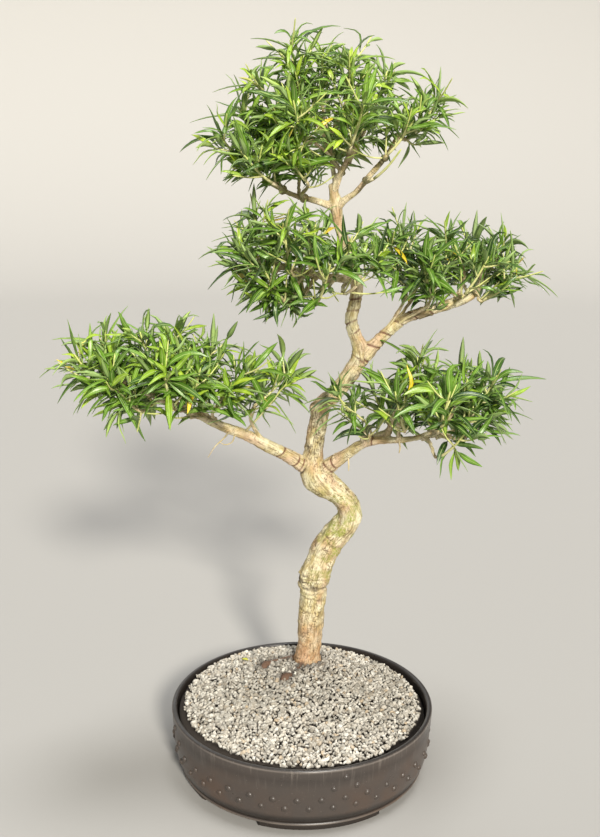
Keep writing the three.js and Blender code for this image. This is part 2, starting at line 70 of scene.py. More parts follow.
def chance(*keys: Array | int) -> Array:
    """Gives a repeatable number from 0 to 1 for whole-number keys.

    Each key is mixed into a 32-bit number by two odd multiplications with shifts between
    them, as in the part's source.

    Args:
        keys: Whole numbers, or arrays of them that broadcast together.

    Returns:
        The random numbers, in the keys' broadcast shape.
    """
    mixed = np.asarray(SEED).astype(np.uint32)
    with np.errstate(over="ignore"):
        for key in keys:
            salt = (np.asarray(key).astype(np.int64) + 0x9E3779B9).astype(np.uint32)
            mixed = (mixed ^ salt) * np.uint32(0x85EBCA6B)
            mixed = mixed ^ (mixed >> np.uint32(13))
            mixed = mixed * np.uint32(0xC2B2AE35)
            mixed = mixed ^ (mixed >> np.uint32(16))
    return mixed / 2.0**32


def spread(middle: float, reach: float, *keys: Array | int) -> Array:
    """Returns random numbers within `reach` of `middle`."""
    return middle + reach * (2.0 * chance(*keys) - 1.0)


def scattered(first_key: int, *keys: Array | int) -> Array:
    """Returns random vectors whose parts run from -1 to 1, by three keys in a row."""
    return np.stack([spread(0.0, 1.0, first_key + axis, *keys) for axis in range(3)], axis=-1)


def noise(points: Array, size: float, key: int) -> Array:
    """Gives smooth noise from -1 to 1 at points in space.

    The eight corners of the cell round a point have random values, blended by the smooth
    step of the point's place in the cell.

    Args:
        points: Places, with x, y and z in the last axis.
        size: Width of a cell, in the unit of the points.
        key: Number that tells one noise from another.

    Returns:
        One value for each point.
    """
    cell = np.floor(points / size).astype(np.int64)
    part = points / size - cell
    part = part * part * (3.0 - 2.0 * part)
    total = np.zeros(points.shape[:-1])
    for corner in product((0, 1), repeat=3):
        weight = np.prod(np.where(np.array(corner) == 1, part, 1.0 - part), axis=-1)
        total += weight * chance(key, *np.moveaxis(cell + np.array(corner), -1, 0))
    return 2.0 * total - 1.0


def smooth_step(values: Array, low: float, high: float) -> Array:
    """Returns 0 at `low` and 1 at `high`, with a soft start and end between them."""
    share = np.clip((values - low) / (high - low), 0.0, 1.0)
    return share * share * (3.0 - 2.0 * share)


def bell(values: Array, middle: float, width: float) -> Array:
    """Returns 1 at the middle, falling as a bell curve to 1/e at the width from it."""
    return np.exp(-(((values - middle) / width) ** 2))


def unit(vectors: Array) -> Array:
    """Returns the vectors at length one."""
    return vectors / np.maximum(np.linalg.norm(vectors, axis=-1, keepdims=True), 1e-9)


def square_to(vectors: Array, along: Array) -> Array:
    """Returns the unit vectors left when the part along `along` is taken away."""
    return unit(vectors - along * np.sum(vectors * along, axis=-1, keepdims=True))


def turns(count: int) -> Array:
    """Returns evenly spaced angles that go once round."""
    return 2.0 * math.pi * np.arange(count) / count


def about_axis(radius: Array | float, angle: Array, height: Array) -> Array:
    """Returns the points at a radius and an angle about the pot's axis, at a height."""
    radius, angle, height = np.broadcast_arrays(radius, angle, height)
    return np.stack([radius * np.cos(angle), radius * np.sin(angle), height], axis=-1)


def distances(lines: Array) -> Array:
    """Returns how far along its curve each point lies."""
    step = np.linalg.norm(np.diff(lines, axis=-2), axis=-1)
    return np.concatenate([np.zeros((*step.shape[:-1], 1)), np.cumsum(step, axis=-1)], axis=-1)


def clear_of(points: Array, wood: Array) -> Array:
    """Returns how far points are from wood, which is rows of x, y, z and radius."""
    return (np.linalg.norm(points[..., None, :] - wood[:, :3], axis=-1) - wood[:, 3]).min(axis=-1)


def smooth_route(knots: Array, steps: int) -> Array:
    """Carries a centripetal Catmull-Rom curve through knots.

    Each span is a Hermite cubic, with slopes from the neighbouring knots, which are set
    apart by the square root of their distance.

    Args:
        knots: Places to pass through, with x, y, z and any more values in the last axis.
        steps: Points worked out in each span.

    Returns:
        The points on the curve, in the columns of the knots.
    """
    held = np.vstack([2 * knots[0] - knots[1], knots, 2 * knots[-1] - knots[-2]])
    gap = np.sqrt(np.linalg.norm(np.diff(held[:, :3], axis=0), axis=1))[:, None]
    slope = np.diff(held, axis=0) / gap
    wide = (held[2:] - held[:-2]) / (gap[1:] + gap[:-1])
    inner = slope[:-1] - wide + slope[1:]
    leave, arrive = (inner[:-1] * gap[1:-1])[:, None], (inner[1:] * gap[1:-1])[:, None]
    first, last = knots[:-1][:, None], knots[1:][:, None]
    t = (np.arange(steps) / steps)[None, :, None]
    spans = (
        (2 * first - 2 * last + leave + arrive) * t**3
        + (3 * last - 3 * first - 2 * leave - arrive) * t**2
        + leave * t
        + first
    )
    return np.vstack([spans.reshape(-1, knots.shape[1]), knots[-1:]])


def bezier(controls: Array, count: int) -> Array:
    """Evaluates Bezier curves of any degree by repeated blending of their controls.

    Args:
        controls: Control points, shaped curves x controls x 3.
        count: Points on each curve.

    Returns:
        The points, shaped curves x count x 3.
    """
    t = np.linspace(0.0, 1.0, count)[None, None, :, None]
    points = np.repeat(controls[:, :, None, :], count, axis=2)
    while points.shape[1] > 1:
        points = points[:, :-1] * (1.0 - t) + points[:, 1:] * t
    return points[:, 0]


def frames_on(lines: Array, guide: Array) -> tuple[Array, ...]:
    """Finds the directions along, across and over each point of curves.

    Args:
        lines: Curves, shaped ... x points x 3.
        guide: Direction that `across` stays nearest to, which broadcasts with the curves.

    Returns:
        Unit vectors along, across and over, each in the shape of the curves.
    """
    along = unit(np.gradient(lines, axis=-2))
    across = square_to(np.broadcast_to(guide, lines.shape), along)
    return along, across, np.cross(along, across)


def clear_guide(lines: Array) -> Array:
    """Returns for each curve the axis that its chord leans along least."""
    chord = np.abs(unit(lines[:, -1] - lines[:, 0]))
    return np.eye(3)[np.argmin(chord, axis=-1)][:, None, :]


def carried(lines: Array, number: Array, share: Array, turn: Array) -> tuple[Array, ...]:
    """Finds places on curves and the directions along them and out of them there.

    Args:
        lines: Curves, shaped curves x points x 3.
        number: Number of the curve for each place.
        share: The place as a share of the curve's points.
        turn: Angle of the way out about the curve.

    Returns:
        The places, and the unit vectors along and out.
    """
    place = (lines.shape[1] - 1) * share
    low = place.astype(int)
    part = (place - low)[:, None]
    along, across, over = (way[number, low] for way in frames_on(lines, clear_guide(lines)))
    out = np.cos(turn)[:, None] * across + np.sin(turn)[:, None] * over
    return lines[number, low] * (1.0 - part) + lines[number, low + 1] * part, along, out


def sections_on(lines: Array, across: Array, over: Array, side: Array, top: Array) -> Array:
    """Returns the points at offsets to the side and over the top of each point of curves."""
    return lines[:, :, None] + side[..., None] * across[:, :, None] + top[..., None] * over[:, :, None]


def round_rings(lines: Array, radii: Array, sides: int, guide: Array) -> tuple[Array, Array]:
    """Lays rings of points round curves.

    Args:
        lines: Curves, shaped curves x points x 3.
        radii: Radii, shaped curves x points or curves x points x sides.
        sides: Points in each ring.
        guide: Direction of the ring's first point, as in frames_on.

    Returns:
        The rings, shaped curves x points x sides x 3, and each point's distance along
        the curve and two offsets across it.
    """
    _, across, over = frames_on(lines, guide)
    angle = turns(sides)
    reach = radii if radii.ndim == 3 else np.repeat(radii[:, :, None], sides, axis=2)
    side, top = reach * np.cos(angle), reach * np.sin(angle)
    reached = np.broadcast_to(distances(lines)[:, :, None], side.shape)
    return sections_on(lines, across, over, side, top), np.stack([reached, side, top], axis=-1)


# Meshes


@dataclass
class Skin:
    """Points in millimetres, faces by their count of corners, and values for each point."""

    points: Array
    faces: list[Array]
    values: dict[str, Array]

    @staticmethod
    def over_rings(rings: Array, **values: Array) -> "Skin":
        """Closes a skin over rings that turn anticlockwise about the way they travel.

        Neighbouring rings are joined by four-cornered faces, and the first and last ring
        of each run are closed by one flat face.

        Args:
            rings: Points, shaped runs x rings x sides x 3.
            values: Values for each point, in the shape of the rings.

        Returns:
            The skin.
        """
        runs, count, sides, _ = rings.shape
        index = np.arange(runs * count * sides).reshape(runs, count, sides)
        low, high = index[:, :-1], index[:, 1:]
        quads = [low, np.roll(low, -1, axis=2), np.roll(high, -1, axis=2), high]
        quads = np.stack(quads, axis=-1).reshape(-1, 4)
        ends = np.concatenate([index[:, 0, ::-1], index[:, -1]])
        flat = {k: v.reshape(runs * count * sides, *v.shape[3:]) for k, v in values.items()}
        return Skin(rings.reshape(-1, 3), [quads, ends], flat)

    def joined(self, other: "Skin") -> "Skin":
        """Returns one skin that holds this one and another, with the values both have."""
        shifted = [faces + len(self.points) for faces in other.faces]
        both = [key for key in self.values if key in other.values]
        values = {key: np.concatenate([self.values[key], other.values[key]]) for key in both}
        return Skin(np.concatenate([self.points, other.points]), self.faces + shifted, values)

    def mesh(self, name: str, smooth: bool = True) -> Mesh:
        """Makes the Blender mesh, in metres, with each value as an attribute.

        Args:
            name: Name of the mesh.
            smooth: Whether the faces are shaded smooth.

        Returns:
            The mesh.
        """
        mesh = bpy.data.meshes.new(name)
        corners = np.concatenate([faces.ravel() for faces in self.faces])
        sizes = np.concatenate([np.full(len(faces), faces.shape[1]) for faces in self.faces])
        mesh.vertices.add(len(self.points))
        set_points(mesh, self.points)
        mesh.loops.add(len(corners))
        mesh.loops.foreach_set("vertex_index", corners.astype(np.int32))
        mesh.polygons.add(len(sizes))
        starts = np.concatenate([[0], np.cumsum(sizes)[:-1]]).astype(np.int32)
        mesh.polygons.foreach_set("loop_start", starts)
        mesh.polygons.foreach_set("use_smooth", np.full(len(sizes), smooth))
        mesh.update(calc_edges=True)
        set_values(mesh, self.values)
        return mesh


def set_points(mesh: Mesh, points: Array) -> None:
    """Moves the points of a mesh to places in millimetres."""
    mesh.vertices.foreach_set("co", (points * MM).astype(np.float32).ravel())


def read_points(mesh: Mesh, kind: str = "co") -> Array:
    """Returns the places of a mesh's points in metres, or their normals, as rows."""
    numbers = np.empty(3 * len(mesh.vertices), np.float32)
    mesh.vertices.foreach_get(kind, numbers)
    return numbers.reshape(-1, 3)


def set_values(mesh: Mesh, values: dict[str, Array]) -> None:
    """Stores numbers or vectors for each point of a mesh as named attributes."""
    for key, value in values.items():
        plain = value.ndim == 1
        layer = mesh.attributes.new(key, "FLOAT" if plain else "FLOAT_VECTOR", "POINT")
        layer.data.foreach_set("value" if plain else "vector", value.astype(np.float32).ravel())


def placed(name: str, data: bpy.types.ID) -> bpy.types.Object:
    """Returns a new object in the scene that holds the data."""
    holder = bpy.data.objects.new(name, data)
    bpy.context.scene.collection.objects.link(holder)
    return holder


def show(mesh: Mesh, material: Material, stands_for: list[str]) -> None:
    """Puts a mesh into the scene as a piece that stands for CAD nodes.

    Args:
        mesh: The finished mesh, in metres, at its place.
        material: Its finish.
        stands_for: CAD nodes that the piece replaces.
    """
    piece = placed(mesh.name, mesh)
    mesh.materials.append(material)
    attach(piece, "root")
    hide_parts(*stands_for)
    triangles = sum(max(p.loop_total - 2, 0) for p in mesh.polygons)
    LOG.info("%s: %d triangles", mesh.name, triangles)


def changed(mesh: Mesh, kind: str, **settings: object) -> Mesh:
    """Returns a new mesh with one modifier applied, and removes the old one.

    Args:
        mesh: Mesh to change.
        kind: Blender's name of the modifier's type.
        settings: Properties of the modifier.

    Returns:
        The changed mesh.
    """
    holder = placed("holder", mesh)
    modifier = holder.modifiers.new(kind, kind)
    for key, value in settings.items():
        setattr(modifier, key, value)
    shaped = holder.evaluated_get(bpy.context.evaluated_depsgraph_get())
    result = bpy.data.meshes.new_from_object(shaped)
    bpy.data.objects.remove(holder)
    name = mesh.name
    bpy.data.meshes.remove(mesh)
    result.name = name
    return result


# Finishes


def srgb(hex_code: str) -> Rgba:
    """Turns an sRGB hex colour into Blender's linear one."""
    parts = [int(hex_code[i : i + 2], 16) / 255.0 for i in (1, 3, 5)]
    linear = [c / 12.92 if c <= 0.04045 else ((c + 0.055) / 1.055) ** 2.4 for c in parts]
    return (*linear, 1.0)


def feed(tree: Tree, node: bpy.types.Node, inputs: dict[str | int, object]) -> None:
    """Sets each named socket of a node to its value, or links it to the socket given."""
    for key, value in inputs.items():
        if isinstance(value, Socket):
            tree.links.new(value, node.inputs[key])
        else:
            node.inputs[key].default_value = value


def add_node(
    tree: Tree, kind: str, inputs: dict[str | int, object], output: str | int = 0, **settings: object
) -> Socket:
    """Adds a node, sets its properties, and sets or links its sockets.

    Args:
        tree: Node tree of the material.
        kind: Blender's name of the node type, after the word ShaderNode.
        inputs: For each socket, by name or place, a value or the socket that feeds it.
        output: Name or place of the output that is wanted.
        settings: Properties of the node.

    Returns:
        The output.
    """
    node = tree.nodes.new(f"ShaderNode{kind}")
    for key, value in settings.items():
        setattr(node, key, value)
    feed(tree, node, inputs)
    return node.outputs[output]


def amount(tree: Tree, *parts: Socket | float | tuple) -> Socket | float:
    """Works out how much of something there is, as a product of parts.

    Args:
        tree: Node tree of the material.
        parts: Each a number, a socket, or a socket with four numbers, of which the first
            two are the span that it is held to and the last two what that span becomes.

    Returns:
        The product.
    """
    total = None
    for part in parts:
        if isinstance(part, tuple):
            part = add_node(tree, "MapRange", dict(enumerate(part)), clamp=True)
        first = total is None
        total = part if first else add_node(tree, "Math", {0: total, 1: part}, operation="MULTIPLY")
    return total


class Blend(Enum):
    """Ways to lay one colour over another."""

    MIX = "MIX"
    MULTIPLY = "MULTIPLY"


def coated(tree: Tree, color: str | Rgba | Socket, *coats: tuple, blend: Blend = Blend.MIX) -> Socket:
    """Lays coats of colour over each other.

    Args:
        tree: Node tree of the material.
        color: The lowest colour.
        coats: For each coat its colour, and then the parts whose product, as in `amount`,
            is how much of it shows.
        blend: How the coats are laid on.

    Returns:
        The colour of them all.
    """
    factor, first, second, blended = 0, 6, 7, 2
    color = srgb(color) if isinstance(color, str) else color
    for over, *parts in coats:
        over = srgb(over) if isinstance(over, str) else over
        inputs = {factor: amount(tree, *parts), first: color, second: over}
        color = add_node(tree, "Mix", inputs, blended, data_type="RGBA", blend_type=blend.value)
    return color


def grain(
    tree: Tree, places: Socket, size_mm: tuple[float, ...], detail: float = 3.0, unit_mm: float = 1000.0
) -> Socket:
    """Returns noise whose grains have the given size in millimetres along each axis.

    Args:
        tree: Node tree of the material.
        places: Coordinates that the noise is laid on.
        size_mm: Size of a grain along each axis.
        detail: Finer layers added to the noise.
        unit_mm: Millimetres in one unit of the coordinates.

    Returns:
        The noise, about 0.5 in the middle.
    """
    scale = tuple(unit_mm / size for size in size_mm)
    sized = add_node(tree, "Mapping", {"Vector": places, "Scale": scale})
    return add_node(tree, "TexNoise", {"Vector": sized, "Scale": 1.0, "Detail": detail}, "Fac")


def raised(tree: Tree, *reliefs: tuple[Socket, float, float]) -> Socket:
    """Returns normals raised by reliefs, each a height, its depth in millimetres and strength."""
    inputs = {}
    for height, depth_mm, strength in reliefs:
        inputs |= {"Height": height, "Distance": depth_mm * MM, "Strength": strength}
        inputs["Normal"] = add_node(tree, "Bump", inputs, "Normal")
    return inputs["Normal"]


class Finish:
    """A finish of the object, laid on Blender's Principled surface.

    The numbers that it reads are stored in the mesh, under the names in `reads`.
    """

    name: ClassVar[str]
    reads: ClassVar[tuple] = ()

    def sockets(self, tree: Tree, *read: Socket) -> dict[str, object]:
        """Returns a value or a socket for each socket of the surface that the finish sets."""
        raise NotImplementedError

    def material(self) -> Material:
        """Returns the material."""
        material = bpy.data.materials.new(self.name)
        material.use_nodes = True
        tree = material.node_tree
        read = (add_node(tree, "Attribute", {}, "Fac", attribute_name=key) for key in self.reads)
        feed(tree, tree.nodes["Principled BSDF"], self.sockets(tree, *read))
        return material


@dataclass(frozen=True)
class UnglazedStoneware(Finish):
    """Dark stoneware, turned and fired without glaze: matt, with dry streaks and dust."""

    name: ClassVar[str] = "unglazed_stoneware"
    reads: ClassVar[tuple] = ("worn", "inner")
    body: str = "#443e3a"
    warm: str = "#574233"
    # Pale clay: for drips and specks, and for the rubbed edges and painted highlights of the lip, the bead
    # and the studs
    worn: str = "#9a9188"
    # Dark colour: stains inside the bowl, and painted shade on the underside, the feet and the studs
    stain_and_shade: str = "#1e1a17"
    smoother: float = 0.27
    rougher: float = 0.45

    def sockets(self, tree: Tree, *read: Socket) -> dict[str, object]:
        """Returns the clay's colour, its roughness and its sandy grain."""
        places = add_node(tree, "TexCoord", {}, "Object")
        streaks = grain(tree, places, (3.0, 3.0, 40.0), 2.0)
        clouds = grain(tree, places, (34.0, 34.0, 26.0))
        specks = grain(tree, places, (1.1, 1.1, 1.4), 0.0)
        sand = grain(tree, places, (0.9, 0.9, 0.9), 2.0)
        across, height = (add_node(tree, "SeparateXYZ", {"Vector": places}, axis) for axis in "XZ")
        aside = add_node(tree, "Math", {0: across}, operation="ABSOLUTE")
        worn, inner = read
        # Iron in the clay comes out warmer in patches low on the wall
        low = (height, 0.02, 0.08, 1.0, 0.1), (aside, 0.03, 0.1, 0.3, 1.0)
        warmed = self.warm, *low, (clouds, 0.4, 0.65, 0.2, 0.85)
        # Water ran down from the lip and left faint upright drips about 3 mm wide
        dripped = self.worn, (height, 0.052, 0.079, 0.0, 0.32), (streaks, 0.56, 0.75, 0.0, 1.0)
        # The inside takes stains from wet soil, and the same dark colour is painted shade on the underside,
        # the feet and the studs
        stains_and_shade = self.stain_and_shade, inner
        # Dried drops leave pale specks about half a millimetre wide
        specked = self.worn, (specks, 0.79, 0.86, 0.0, 0.35)
        # The worn value paints the lip's outer edge, the bead and a ring on each stud pale: partly rubbed
        # clay, partly painted highlight
        return {
            "Base Color": coated(tree, self.body, warmed, dripped, (self.worn, worn), stains_and_shade, specked),
            "Roughness": amount(tree, (clouds, 0.3, 0.7, self.smoother, self.rougher)),
            "IOR": 1.5,
            "Normal": raised(tree, (sand, 0.1, 0.4)),
        }


@dataclass(frozen=True)
class CrushedGrit(Finish):
    """Crushed pale grit, dry: each grain has its own shade of grey, beige or white. A dark
    colour is wet grit beside the roots, and painted shade under the grains and on the bed.
    """

    name: ClassVar[str] = "crushed_grit"
    reads: ClassVar[tuple] = ("tone", "warmth", "damp")
    shade: str = "#8f8b81"
    pale: str = "#f7f4ea"
    warm: str = "#cdb89a"
    damp: str = "#2c241e"
    dusty: Rgba = (0.62, 0.61, 0.6, 1.0)
    clean: Rgba = (1.0, 1.0, 1.0, 1.0)

    def sockets(self, tree: Tree, *read: Socket) -> dict[str, object]:
        """Returns the grains' shades with a mottle of dust about 1 mm across."""
        tone, warmth, damp = read
        mottled = grain(tree, add_node(tree, "TexCoord", {}, "Object"), (1.3, 1.3, 1.3))
        color = coated(tree, self.shade, (self.pale, tone), (self.warm, warmth))
        dust = coated(tree, self.dusty, (self.clean, (mottled, 0.35, 0.65, 0.0, 1.0)))
        color = coated(tree, color, (dust, 1.0), blend=Blend.MULTIPLY)
        return {
            # The dark coat is damp grit beside the roots, and painted shade under each grain and on the bed
            # between the grains
            "Base Color": coated(tree, color, (self.damp, damp)),
            "Roughness": 0.93,
            "IOR": 1.5,
            "Normal": raised(tree, (mottled, 0.25, 0.7)),
        }


@dataclass(frozen=True)
class FicusBark(Finish):
    """Bark of a grown ficus: pale cream, finely fissured, with corky dots and old wire scars."""

    name: ClassVar[str] = "ficus_bark"
    reads: ClassVar[tuple] = ("tan", "aged", "algae", "grey", "scar", "crease", "dark")
    cream: str = "#c5b480"
    light: str = "#eae1be"
    shadow: str = "#7f6b4b"
    fleck_and_shade: str = "#6b5238"
    deep: str = "#3f3024"
    tan: str = "#bf8e69"
    flush: str = "#c79a7c"
    grey: str = "#453823"
    algae: str = "#939c3e"
    scar: str = "#5f2c20"
    root: str = "#6b5242"

    def sockets(self, tree: Tree, *read: Socket) -> dict[str, object]:
        """Returns the bark's colours, the outermost last, and its strands, creases and dots."""
        limb = add_node(tree, "Attribute", {}, "Vector", attribute_name="limb")

        def on_limb(*size_mm: float, detail: float = 3.0) -> Socket:
            """Returns noise along and across the limb."""
            return grain(tree, limb, size_mm, detail, 1.0)

        tan, aged, algae, grey, scar, crease, dark = read
        # Pale and darker clouds about 14 mm long, as the thin outer bark flakes unevenly
        clouds = on_limb(14.0, 8.0, 8.0, detail=5.0)
        patches = on_limb(30.0, 16.0, 16.0)
        # Fine lengthwise striation, 1.5 mm apart and 13 mm long
        strands = on_limb(13.0, 1.5, 1.5, detail=4.0)
        # Corky flecks about 2 mm long, crowded in some places and rare in others
        dots = on_limb(2.6, 1.7, 1.7)
        crowd = on_limb(22.0, 10.0, 10.0)
        flecks = (dots, 0.48, 0.38, 0.0, 1.0), (crowd, 0.4, 0.6, 0.3, 1.0), (aged, 0.0, 1.0, 0.35, 0.8)
        # Short creases run across the limb where the bark is squeezed, 7 mm long, painted dark as painted
        # shade in them
        creases = on_limb(1.3, 7.0, 7.0)
        squeezed = amount(tree, (creases, 0.41, 0.33, 0.0, 1.0), (crowd, 0.46, 0.6, 0.0, 1.0))
        color = coated(
            tree,
            self.cream,
            (self.light, (clouds, 0.38, 0.62, 0.0, 1.0)),
            # Where the outer bark is thinnest, the bark below it shows through pinkish
            (self.flush, (patches, 0.48, 0.68, 0.0, 0.55)),
            (self.tan, tan, (clouds, 0.36, 0.64, 1.0, 0.5)),
            (self.shadow, (strands, 0.5, 0.34, 0.0, 0.75)),
            (self.fleck_and_shade, *flecks),
            (self.algae, algae, (dots, 0.36, 0.6, 1.0, 0.3)),
            # A grey-brown mottle on the upright stretch, which is also a painted shadow of the foliage above
            (self.grey, grey, (dots, 0.42, 0.58, 1.0, 0.2)),
            # The creases are painted dark: painted shade
            (self.fleck_and_shade, squeezed, 0.75),
            (self.scar, scar),
            # Folds at the joins, cracks at the knee and pits are painted dark: painted shade
            (self.deep, crease),
            (self.root, dark),
        )
        normal = raised(tree, (strands, 0.7, 0.6), (squeezed, -0.6, 0.8), (dots, 0.9, 0.8))
        return {"Base Color": color, "Roughness": 0.78, "IOR": 1.45, "Normal": normal}


@dataclass(frozen=True)
class WillowLeaf(Finish):
    """Living ficus leaf: waxy and smooth above with a paler rib, duller and paler below."""

    name: ClassVar[str] = "willow_leaf"
    reads: ClassVar[tuple] = ("tone", "under")
    old: str = "#284911"
    grown: str = "#668f2a"
    young: str = "#b7d23a"
    yellow: str = "#dfc52c"
    rib: str = "#cbdc8e"
    below: str = "#a3bb78"
    dim: Rgba = (0.64, 0.68, 0.6, 1.0)
    bright: Rgba = (1.2, 1.17, 1.1, 1.0)
    waxy: float = 0.38
    dull: float = 0.6
    vein_turn: float = 2.1

    def sockets(self, tree: Tree, *read: Socket) -> dict[str, object]:
        """Returns the leaf's colours by age and side, its gloss and its side veins."""
        tone, lower = read
        blade = add_node(tree, "Attribute", {}, "Vector", attribute_name="blade")
        across, reached = (add_node(tree, "SeparateXYZ", {"Vector": blade}, axis) for axis in "XY")
        color = coated(
            tree,
            self.old,
            (self.grown, (tone, 0.0, 0.5, 0.0, 1.0)),
            (self.young, (tone, 0.5, 1.0, 0.0, 1.0)),
            (self.yellow, (tone, 1.4, 1.6, 0.0, 1.0)),
        )
        clouds = grain(tree, add_node(tree, "TexCoord", {}, "Object"), (9.0, 9.0, 9.0), 2.0)
        shade = coated(tree, self.dim, (self.bright, (clouds, 0.3, 0.7, 0.0, 1.0)))
        color = coated(tree, color, (shade, 1.0), blend=Blend.MULTIPLY)
        under = amount(tree, (lower, 0.03, 0.1, 0.0, 1.0))
        paler = coated(tree, color, (self.below, 0.6))
        # The rib shows as a pale line, 0.8 mm wide, that thins out towards the tip
        color = coated(tree, color, (paler, under), (self.rib, (across, 0.05, 0.13, 0.5, 0.0)))
        # Side veins leave the rib about every 3 mm and slant to the tip
        slant = add_node(tree, "Math", {0: across, 1: -1.6, 2: reached}, operation="MULTIPLY_ADD")
        veins = add_node(tree, "Math", {0: amount(tree, slant, self.vein_turn)}, operation="SINE")
        return {
            "Base Color": color,
            "Roughness": amount(tree, (under, 0.0, 1.0, self.waxy, self.dull)),
            "IOR": 1.55,
            "Normal": raised(tree, (veins, 0.1, 0.15)),
        }


@dataclass(frozen=True)
class GreenStem(Finish):
    """Young ficus stem: smooth, green to yellow, turning to pale bark as it ages."""

    name: ClassVar[str] = "green_stem"
    reads: ClassVar[tuple] = ("ripe",)
    young: str = "#cfd680"
    ripe: str = "#e2d7ab"
    streak: str = "#7c7440"

    def sockets(self, tree: Tree, *read: Socket) -> dict[str, object]:
        """Returns the stem's colour with fine lengthwise streaks, 0.8 mm apart."""
        (ripe,) = read
        limb = add_node(tree, "Attribute", {}, "Vector", attribute_name="limb")
        streaks = grain(tree, limb, (5.0, 0.8, 0.8), 2.0, 1.0)
        color = coated(tree, self.young, (self.ripe, ripe), (self.streak, (streaks, 0.5, 0.3, 0.0, 0.5)))
        normal = raised(tree, (streaks, 0.15, 0.6))
        return {"Base Color": color, "Roughness": 0.5, "IOR": 1.45, "Normal": normal}


@dataclass(frozen=True)
class MouldedMesh(Finish):
    """Moulded polyethylene mesh over a drain hole: black, slightly waxy, with soil dust."""

    name: ClassVar[str] = "moulded_polyethylene"
    color: str = "#242422"
    dust: str = "#6d6458"

    def sockets(self, tree: Tree, *read: Socket) -> dict[str, object]:
        """Returns the plastic's colour under specks of dust about 1 mm wide."""
        fine = grain(tree, add_node(tree, "TexCoord", {}, "Object"), (1.0, 1.0, 1.0), 2.0)
        color = coated(tree, self.color, (self.dust, (fine, 0.5, 0.8, 0.0, 0.4)))
        return {"Base Color": color, "Roughness": 0.55, "IOR": 1.5}


@dataclass(frozen=True)
class PaleFloor(Finish):
    """Plain pale studio floor."""

    name: ClassVar[str] = "studio_floor"
    color: str = "#a5a39f"

    def sockets(self, tree: Tree, *read: Socket) -> dict[str, object]:
        """Returns one even colour."""
        return {"Base Color": srgb(self.color), "Roughness": 0.9}


# The pot


